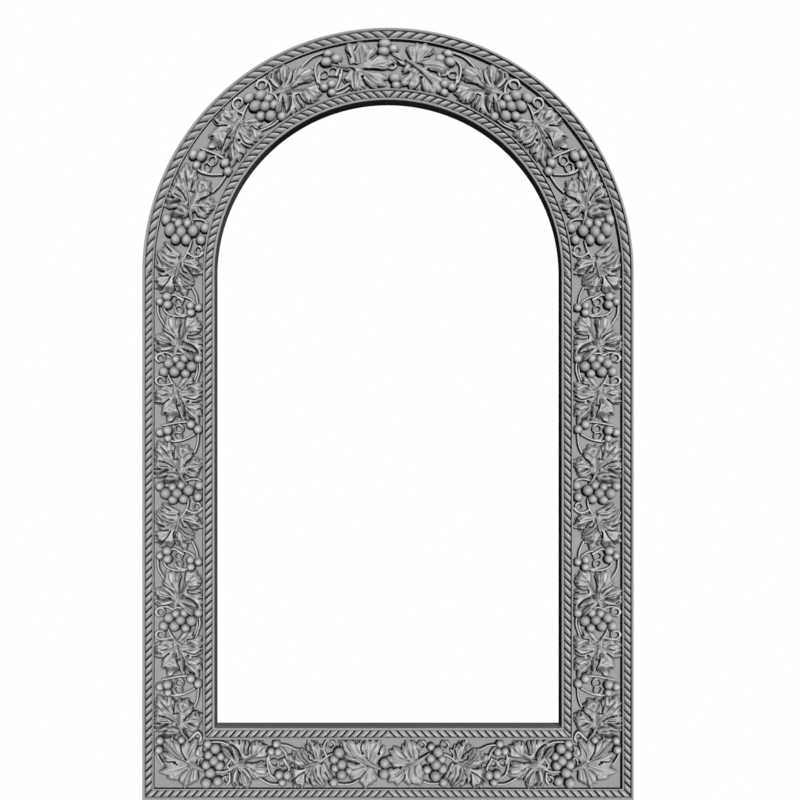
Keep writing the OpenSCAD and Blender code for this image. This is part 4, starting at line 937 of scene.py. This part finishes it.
def paintedLightOf(height, broad, x, z, cell):
    facing = facingOf(height, cell, cell)
    shadowSide = shadowSideOf(height, x, z, cell)
    around = softened(height, paintedLight["farPasses"])
    lifted = np.clip((height - paintedLight["raisedFrom"]) / (paintedLight["raisedTo"] - paintedLight["raisedFrom"]), 0, 1)
    # painted highlight: paler on raised and convex carving and on the leaves' swells
    paintedHighlight = lifted * np.clip(paintedLight["plane"] + (height - around) / paintedLight["crestMm"], 0, 1)
    paintedHighlight *= 1 - paintedLight["tall"] * np.clip(height - paintedLight["tallMm"], 0, 1)
    paintedHighlight += paintedLight["swell"] * np.clip(broad, 0, 1)
    # painted shade in narrow cuts, strongest on the side away from the light
    near = np.clip((softened(height, paintedLight["nearPasses"]) - height) / paintedLight["cutMm"], 0, 1)
    near *= paintedLight["openSide"] + (1 - paintedLight["openSide"]) * shadowSide
    deep = np.clip((around - height) / paintedLight["deepMm"], 0, 1)
    share = np.where(lifted > 0.5, paintedLight["dipShare"], paintedLight["deepShare"])
    # painted shade on surfaces sloping away from the front, on steep flanks away from the light and in the
    # leaves' hollows
    tone = paintedLight["wall"] + (1 - paintedLight["wall"]) * facing ** paintedLight["slope"]
    steep = np.clip((paintedLight["steepFrom"] - facing) / paintedLight["steepRange"], 0, 1)
    kept = tone * (1 - near) * (1 - share * deep) * (1 - shadowSide * steep)
    kept *= 1 - paintedLight["hollow"] * np.clip(-broad, 0, 1)
    return paintedHighlight, 1 - kept


def gridBlock(cols, rows, hole=None):
    # a block one high with its front as a grid, less the corner past the hole's column and row
    bm = bmesh.new()
    bmesh.ops.create_grid(bm, x_segments=cols, y_segments=rows, size=1)
    if hole:
        gone = [f for f in bm.faces if (f.calc_center_median().x + 1) / 2 * cols > hole[0]
                and (f.calc_center_median().y + 1) / 2 * rows > hole[1]]
        bmesh.ops.delete(bm, geom=gone, context="FACES")
    rim = [e for e in bm.edges if e.is_boundary]
    for edge in rim:
        edge.smooth = False
    sides = bmesh.ops.extrude_edge_only(bm, edges=rim)["geom"]
    bmesh.ops.translate(bm, vec=(0, 0, -1), verts=[g for g in sides if isinstance(g, bmesh.types.BMVert)])
    back = [g for g in sides if isinstance(g, bmesh.types.BMEdge) and g.is_boundary]
    bmesh.ops.contextual_create(bm, geom=back)
    for face in bm.faces:
        face.smooth = all(v.co.z > -0.5 for v in face.verts)
    bmesh.ops.recalc_face_normals(bm, faces=bm.faces)
    return bm


def bentBlock(name, cols, rows, shape, mirrored, hole=None):
    # shape(col, row, back) gives x, y, z in mm and the painted highlight and painted shade values
    mesh = toMesh(name, gridBlock(cols, rows, hole))
    flat = np.empty(len(mesh.vertices) * 3)
    mesh.vertices.foreach_get("co", flat)
    flat = flat.reshape(-1, 3)
    col = np.rint((flat[:, 0] + 1) / 2 * cols).astype(int)
    row = np.rint((flat[:, 1] + 1) / 2 * rows).astype(int)
    x, y, z, paintedHighlight, cut = shape(col, row, flat[:, 2] < -0.5)
    place = np.stack([-x if mirrored else x, y, z], 1) * mm
    mesh.vertices.foreach_set("co", place.ravel())
    for key, values in (("paintedHighlight", paintedHighlight), ("cut", cut)):
        layer = mesh.attributes.new(key, "FLOAT", "POINT")
        layer.data.foreach_set("value", values.astype(np.float32))
    mesh.update()
    front = mesh.polygons[len(mesh.polygons) // 3]     # the grid's own faces come first
    if front.normal.y > 0:
        mesh.flip_normals()
    return mesh


def sidePoint(c, t):
    # x and z in mm at a distance c along the sight edge and t in from the outer edge
    turn = c / sightR
    curved = c < arcLen
    x = np.where(curved, -(outerR - t) * np.sin(turn), -(outerR - t))
    z = np.where(curved, archZ + (outerR - t) * np.cos(turn), archZ - c + arcLen)
    return x, z


# The same for each run of the border, from the pattern's pixels
def sidePlace(offset):
    return lambda a, t: sidePoint((a + offset) * sideScale, t * px)


def crownPlace(a, t):
    turn = a * sideScale / sightR
    return -(outerR - t * px) * np.sin(turn), archZ + (outerR - t * px) * np.cos(turn)


def railPlace(a, t):
    return -a * railScale, bottomZ + t * px


def cornerPlace(a, t):
    return -outerR + a * px, bottomZ + t * px


innerPx = stripW / px
outerPx = (bandW - stripW) / px


def friezePiece(node, place, features, fromPx, toPx, scale, mirrored=False, leg=None):
    # leg gives where a corner piece ends along the rail and up the stile
    rows = int((outerPx - innerPx) * px / relief["cell"])
    acrossLine = np.linspace(innerPx, outerPx, rows + 1)
    cols = int((toPx - fromPx) * scale / relief["cell"])
    alongLine = np.linspace(fromPx, toPx, cols + 1)
    hole = None
    if leg:
        hole = (rows, rows)
        alongLine, acrossLine = [
            np.append(acrossLine[:-1], np.linspace(outerPx, end, int((end - outerPx) * px / relief["cell"])))
            for end in leg]
        cols, rows = len(alongLine) - 1, len(acrossLine) - 1
    height, broad = carve(alongLine, acrossLine, features)
    gridX, gridZ = place(*np.meshgrid(alongLine, acrossLine))
    paintedHighlight, cut = paintedLightOf(height, broad, -gridX if mirrored else gridX, gridZ, relief["cell"])

    def shape(col, row, back):
        x, z = place(alongLine[col], acrossLine[row])
        y = np.where(back, boardY, boardY - relief["ground"] - height[row, col])
        return x, y, z, paintedHighlight[row, col], cut[row, col]

    mesh = bentBlock(node + "_carved", cols, rows, shape, mirrored, hole)
    finishPiece(node + "_carved", mesh, carvedGesso, "root", [node])


for n, part in enumerate(["arch", "shoulder", "upper", "middle", "lower"]):
    before = shifted(sideVine(n - 1), -halfPx) if n else shifted(crownLeft, -crownPx)
    vine = joined(sideVine(n), shifted(sideVine(n + 1), halfPx), before)
    for side in ("left", "right"):
        friezePiece(part + "_frieze_" + side, sidePlace(crownPx + n * halfPx), vine,
                    jointPx, jointPx + halfPx, sideScale, mirrored=(side == "right"))
print("side friezes carved")

crownHalf = crownPx + jointPx
crownEnd, crownNext = shifted(linkS, crownPx), shifted(clusterA, crownPx)
crownVine = joined(crownLeft, flipped(crownRight), crownEnd, flipped(crownEnd), crownNext, flipped(crownNext))
friezePiece("crown_frieze", crownPlace, crownVine, -crownHalf, crownHalf, sideScale)

railHalf = railPx + jointPx
leafInRailPx = -14.5
railEnd = joined(shifted(leafT, leafInRailPx), shifted(linkS, railPx), shifted(clusterA, railPx))
railVine = joined(railLeft, flipped(railRight), railEnd, flipped(railEnd))
friezePiece("bottom_frieze", railPlace, railVine, -railHalf, railHalf, railScale)

legSide = moved(joined(leafR, linkD), along=lambda a, t: t, across=lambda a, t: legSidePx - a)
legRail = moved(joined(leafP, linkS), along=lambda a, t: bandPx + sightPx - railPx - a)
cornerVine = joined(cornerOwn, legSide, legRail)
legUp = (archZ - ((crownPx + jointPx + vines * halfPx) * sideScale - arcLen) - bottomZ) / px
legAlong = (outerR - railHalf * railScale) / px
for side in ("left", "right"):
    friezePiece("corner_frieze_" + side, cornerPlace, cornerVine, 0, 1, px,
                mirrored=(side == "right"), leg=(legAlong, legUp))
print("crown, rail and corner friezes carved")


# Rope mouldings: a half-round bead of laid strands between a listel and a thin fillet
rope = {
    "pitch": 5.18, "perStrand": 12, "beadR": 2.35, "listelW": 1.4, "filletW": 0.8, "channel": 2.4,
    "beadSteps": 16, "ease": 0.12, "seat": 0.05, "hair": 0.01,
    # a strand's form: its groove, its slant and how near its crest is to the upper side
    "groove": 0.72, "plump": 1.5, "lay": 0.9, "crest": -0.35,
    # painted light: a painted highlight on the bead, painted shade in the grooves, under each strand and at
    # the strip's sides
    "paintedHighlight": 0.72, "facing": 0.8, "under": 0.62, "line": 0.98, "lineFrom": 0.57, "lineTo": 0.84,
    "flatMm": 1, "floor": 0.85, "wall": 0.55, "step": 0.92,
}


def ropeSection():
    # rows of distance across, height, and turn round the bead, which is None beside it
    top = boardY - listelY
    floor = top - rope["channel"]
    edge = stripW - rope["filletW"]
    middle = (rope["listelW"] + edge) / 2
    ease, seat, hair = rope["ease"], rope["seat"], rope["hair"]
    listel = [(0, 3), (hair, 2), (ease, 0), (rope["listelW"] - ease, 0), (rope["listelW"], 1)]
    fillet = [(edge, 1), (edge + ease, 0), (stripW - ease, 0), (stripW - hair, 1), (stripW, 2)]
    rows = [(t, top - eases * ease, None) for t, eases in listel]
    rows.append((rope["listelW"] + seat, floor, None))
    for i in range(1, rope["beadSteps"]):
        turn = math.pi * i / rope["beadSteps"]
        rows.append((middle - rope["beadR"] * math.cos(turn), top - rope["beadR"] + seat, turn))
    rows.append((edge - seat, floor, None))
    return rows + [(t, top - eases * ease, None) for t, eases in fillet]


def cablePiece(node, inner, run, length, mitre, mirrored):
    # run(s, t) gives x, z at a distance s along the sight edge and t from the outer edge
    section = ropeSection()
    cols = int(round(length / rope["pitch"] * rope["perStrand"]))
    rows = len(section) - 1
    across = np.array([r[0] for r in section])
    level = np.array([r[1] for r in section])[:, None]
    turn = np.array([r[2] or 0 for r in section])[:, None]
    onBead = np.array([r[2] is not None for r in section])[:, None]
    fromEdge = bandW - across if inner else across
    ends = length - fromEdge if mitre else length + 0 * fromEdge
    along = np.arange(cols + 1) / cols * ends[:, None]
    phase = (along + rope["lay"] * fromEdge[:, None]) / rope["pitch"]
    strand = 2 * (phase - np.floor(phase)) - 1
    lean = strand - rope["crest"]
    lean = lean / np.where(lean > 0, 1 - rope["crest"], 1 + rope["crest"])
    plump = 1 - rope["groove"] * np.abs(lean) ** rope["plump"]
    top = boardY - listelY
    bead = np.maximum(level + rope["beadR"] * plump * np.sin(turn), top - rope["channel"])
    height = np.where(onBead, bead, level)
    facing = np.where(onBead, facingOf(height, length / cols, across), 1)
    # painted highlight on the bead; painted shade from the bead's slope, between strands, under each strand
    # and on the channel floor
    floor = ~onBead & (level < top - rope["flatMm"]) | (height < level.min() + rope["hair"])
    paintedHighlight = np.broadcast_to(np.where(onBead, rope["paintedHighlight"], 0.0), height.shape)
    line = rope["line"] * np.interp(np.abs(strand), [rope["lineFrom"], rope["lineTo"]], [0, 1])
    under = rope["under"] * np.clip(lean, 0, 1)
    cut = np.where(floor, rope["floor"], 1 - facing ** rope["facing"] * (1 - line) * (1 - under))
    cut = np.where(onBead | floor, cut, 0)
    # painted shade on the fillet's step wall and on the inner lip's wall
    cut[-1] = rope["step"]
    if inner:
        cut[0] = rope["wall"]

    def shape(col, row, back):
        x, z = run(along[row, col], fromEdge[row])
        y = np.where(back, boardY, boardY - height[row, col])
        return x, y, z, paintedHighlight[row, col], cut[row, col]

    mesh = bentBlock(node + "_rope", cols, rows, shape, mirrored)
    finishPiece(node + "_rope", mesh, cableGesso, "root", [node])


ropeRuns = {
    "_cable_arch_": (sidePoint, arcLen, False),
    "_cable_": (lambda s, t: (t - outerR, archZ - s), straight, True),
    "_cable_bottom_": (lambda s, t: (-s, bottomZ + t), outerR, True),
}
for kind in ("outer", "inner"):
    for side in ("left", "right"):
        for name, (run, length, mitre) in ropeRuns.items():
            cablePiece(kind + name + side, kind == "inner", run, length, mitre, side == "right")
print("ropes laid")


# Hardware behind the frame

def centreOf(node):
    low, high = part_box(node)
    return (low.x + high.x) / 2, (low.z + high.z) / 2


def onBack(x, z, turn=0):
    # stands a part that was made lying on its back up behind the frame
    c, s = math.cos(turn), math.sin(turn)
    return Matrix(((c, s, 0, x), (0, 0, 1, 0), (s, -c, 0, z), (0, 0, 0, 1)))


button = {"length": 36, "width": 11, "gap": 0.3, "thick": 1.6, "hole": 1.75, "ease": 0.3, "sides": 48,
          "sharp": 1}


def turnButton(node, turn):
    bm = bmesh.new()
    spinIt = Matrix.Rotation(math.pi / button["sides"], 4, "Z")
    outer, inner = [
        bmesh.ops.create_circle(bm, segments=button["sides"], radius=radius * mm, matrix=spinIt)["verts"]
        for radius in (button["width"] / 2, button["hole"])]
    stretch = (button["length"] - button["width"]) / 2 * mm
    for way in (1, -1):
        bmesh.ops.translate(bm, vec=(way * stretch, 0, 0), verts=[v for v in outer if v.co.x * way > 0])
    rims = list({e for v in outer + inner for e in v.link_edges})
    bmesh.ops.bridge_loops(bm, edges=rims)
    bmesh.ops.translate(bm, vec=(0, 0, button["gap"] * mm), verts=bm.verts)
    solid = bmesh.ops.extrude_face_region(bm, geom=list(bm.faces))["geom"]
    bmesh.ops.translate(bm, vec=(0, 0, button["thick"] * mm),
                        verts=[g for g in solid if isinstance(g, bmesh.types.BMVert)])
    bmesh.ops.recalc_face_normals(bm, faces=bm.faces)
    sharp = [e for e in bm.edges if e.calc_face_angle(0) > button["sharp"]]
    bmesh.ops.bevel(bm, geom=sharp, offset=button["ease"] * mm, affect="EDGES", segments=3, profile=0.5,
                    material=-1)
    bmesh.ops.transform(bm, matrix=onBack(*centreOf(node), turn), verts=bm.verts)
    bmesh.ops.recalc_face_normals(bm, faces=bm.faces)
    finishPiece(node + "_plate", toMesh(node + "_plate", bm), zincButton, node, [node])


def archTurn(node):
    x, z = centreOf(node)
    return math.atan2(z / mm - archZ, x / mm) + math.pi / 2


for side in ("left", "right"):
    turnButton("turn_button_arch_" + side, archTurn("turn_button_arch_" + side))
    turnButton("turn_button_stile_" + side, math.pi / 2)
    turnButton("turn_button_bottom_" + side, 0)


def turned(outline, steps):
    # outline: radius and height in mm, from the axis round to the axis again
    bm = bmesh.new()
    verts = [bm.verts.new((a * mm, 0, b * mm)) for a, b in outline]
    edges = [bm.edges.new(pair) for pair in zip(verts, verts[1:])]
    bmesh.ops.spin(bm, geom=verts + edges, cent=(0, 0, 0), axis=(0, 0, 1), steps=steps,
                   angle=2 * math.pi, use_merge=True)
    bmesh.ops.remove_doubles(bm, verts=bm.verts, dist=0.01 * mm)
    return bm


def addTo(target, bm, matrix):
    bmesh.ops.recalc_face_normals(bm, faces=bm.faces)
    bmesh.ops.transform(bm, matrix=matrix, verts=bm.verts)
    bmesh.ops.recalc_face_normals(bm, faces=bm.faces)
    for face in bm.faces:
        face.smooth = True
    part = toMesh("part", bm)
    target.from_mesh(part)
    bpy.data.meshes.remove(part)


screw = {"shank": 1.6, "head": 3.4, "tall": 1.8, "depth": 10, "recess": 0.9, "arm": 2.0, "slot": 0.42,
         "taper": 0.08, "firstTurn": 0.5, "eachTurn": 1.1, "sides": 32, "sharpDeg": 35}


def panScrew(target, x, z, underHead, turn):
    r, h, t = screw["shank"], screw["head"], screw["tall"]
    bm = turned([(0, -screw["depth"]), (r * 0.6, -screw["depth"] + 0.8), (r, -screw["depth"] + 2.4),
                 (r, underHead), (h - 0.15, underHead), (h, underHead + 0.2), (h, underHead + t * 0.45),
                 (h * 0.93, underHead + t * 0.75), (h * 0.72, underHead + t * 0.94), (0, underHead + t)],
                screw["sides"])
    capFrom = underHead + t / 2
    for axis in ((1, 0, 0), (0, 1, 0)):
        for offset in (-screw["arm"], -screw["slot"], screw["slot"], screw["arm"]):
            capFaces = [f for f in bm.faces if f.calc_center_median().z > capFrom * mm]
            geom = list({g for f in capFaces for g in [f, *f.verts, *f.edges]})
            bmesh.ops.bisect_plane(bm, geom=geom, plane_co=[a * offset * mm for a in axis], plane_no=axis)

    def inCross(face):
        c = face.calc_center_median() / mm
        small, large = sorted((abs(c.x), abs(c.y)))
        return c.z >= capFrom and small < screw["slot"] and large < screw["arm"]

    bmesh.ops.inset_region(bm, faces=[f for f in bm.faces if inCross(f)], thickness=screw["taper"] * mm,
                           depth=-screw["recess"] * mm)
    addTo(target, bm, onBack(x, z, turn))


def screwSet(node, places, underHead):
    bm = bmesh.new()
    for i, (x, z) in enumerate(places):
        panScrew(bm, x, z, underHead, screw["firstTurn"] + screw["eachTurn"] * i)
    mesh = toMesh(node + "_turned", bm)
    mesh.set_sharp_from_angle(angle=math.radians(screw["sharpDeg"]))
    finishPiece(node + "_turned", mesh, zincScrew, "root", [node])


screwSet("turn_button_screws", [centreOf(n) for n in sorted(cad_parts)
                                if n.startswith("turn_button_") and n != "turn_button_screws"],
         button["thick"] + 2 * button["gap"])
hangerZ = centreOf("hanger_screws")[1]
hangerX = (boxMm("hanger_screws")[1][0] - screw["head"]) * mm
screwSet("hanger_screws", [(-hangerX, hangerZ), (hangerX, hangerZ)], boxMm("hanger_plate")[1][1])

bumper = {"radius": 6, "tall": 5, "sides": 40, "sharpDeg": 40}
padLow, padHigh = boxMm("wall_bumpers")
pads = bmesh.new()
for x in (padLow[0] + bumper["radius"], padHigh[0] - bumper["radius"]):
    for z in (padLow[2] + bumper["radius"], padHigh[2] - bumper["radius"]):
        r, t = bumper["radius"], bumper["tall"]
        pad = turned([(0, 0), (r - 0.2, 0), (r, 0.3), (r * 0.96, t - 1.4), (r * 0.9, t - 0.6),
                      (r * 0.78, t - 0.12), (r * 0.6, t), (0, t)], bumper["sides"])
        addTo(pads, pad, onBack(x * mm, z * mm))
padMesh = toMesh("wall_bumpers_pads", pads)
padMesh.set_sharp_from_angle(angle=math.radians(bumper["sharpDeg"]))
finishPiece("wall_bumpers_pads", padMesh, rubber, "root", ["wall_bumpers"])
print("hardware fitted")


# Camera at the photograph's distance, light from the front and a little above, white surroundings
view = {"distance": 645, "pxMm": 0.6507, "shiftPx": (12, 14), "sensor": 36, "side": 800}
cameraData = bpy.data.cameras.new("camera")
cameraData.sensor_width = view["sensor"]
cameraData.lens = view["sensor"] * view["distance"] / (view["side"] * view["pxMm"])
cameraData.shift_x = view["shiftPx"][0] / view["side"]
cameraData.shift_y = view["shiftPx"][1] / view["side"]
camera = bpy.data.objects.new("camera", cameraData)
bpy.context.scene.collection.objects.link(camera)
camera.location = (0, (listelY - view["distance"]) * mm, (topZ + bottomZ) / 2 * mm)
camera.rotation_euler = (math.pi / 2, 0, 0)
bpy.context.scene.camera = camera

# Each lamp: strength, where it shines from, and how soft its shadows are, in degrees
lamps = {
    "key": (3.3, (0.3, -0.9, 0.24), 4), "backFill": (1.8, (0, 0.87, 0.5), 1),
    "leftFill": (1.3, (-1, 0, 0), 1), "rightFill": (1.3, (1, 0, 0), 1), "topFill": (0.4, (0, 0, 1), 1),
}
for name, (energy, comingFrom, softness) in lamps.items():
    data = bpy.data.lights.new(name, "SUN")
    data.energy = energy
    data.angle = math.radians(softness)
    lamp = bpy.data.objects.new(name, data)
    bpy.context.scene.collection.objects.link(lamp)
    lamp.rotation_euler = Vector(comingFrom).to_track_quat("Z", "Y").to_euler()


def seenDirectly(tree):
    path = addNode(tree, "ShaderNodeLightPath")
    share = path.outputs["Is Camera Ray"]
    for ray in ("Is Glossy Ray", "Is Transmission Ray"):
        share = addNode(tree, "ShaderNodeMath", {"operation": "MAXIMUM"}, None,
                        {0: share, 1: path.outputs[ray]}).outputs[0]
    return share


room = {"light": 0.02, "floorHalf": 1300, "floorBelow": 1300, "floor": "#666666", "floorLift": 0.8,
        "floorRoughness": 0.9}
world = bpy.data.worlds.new("room")
bpy.context.scene.world = world
world.use_nodes = True
tree = world.node_tree
background = tree.nodes["Background"]
strength = addNode(tree, "ShaderNodeMapRange", None, {"To Min": room["light"], "To Max": 1},
                   {"Value": seenDirectly(tree)})
background.inputs["Color"].default_value = (1, 1, 1, 1)
tree.links.new(strength.outputs["Result"], background.inputs["Strength"])

bm = bmesh.new()
bmesh.ops.create_grid(bm, x_segments=1, y_segments=1, size=room["floorHalf"] * mm)
bmesh.ops.translate(bm, vec=(0, 0, (bottomZ - room["floorBelow"]) * mm), verts=bm.verts)
floor = bpy.data.objects.new("floor", toMesh("floor", bm))
bpy.context.scene.collection.objects.link(floor)
floorFinish, tree, shader = newMaterial("paleStudioFloor")
shader.inputs["Base Color"].default_value = linearColour(room["floor"])
shader.inputs["Roughness"].default_value = room["floorRoughness"]
lift = addNode(tree, "ShaderNodeMath", {"operation": "MULTIPLY"}, {1: room["floorLift"]},
               {0: seenDirectly(tree)})
tree.links.new(lift.outputs[0], shader.inputs["Emission Strength"])
shader.inputs["Emission Color"].default_value = (1, 1, 1, 1)
floor.data.materials.append(floorFinish)
bpy.context.scene.view_settings.view_transform = "Standard"
print("camera, light and floor set")
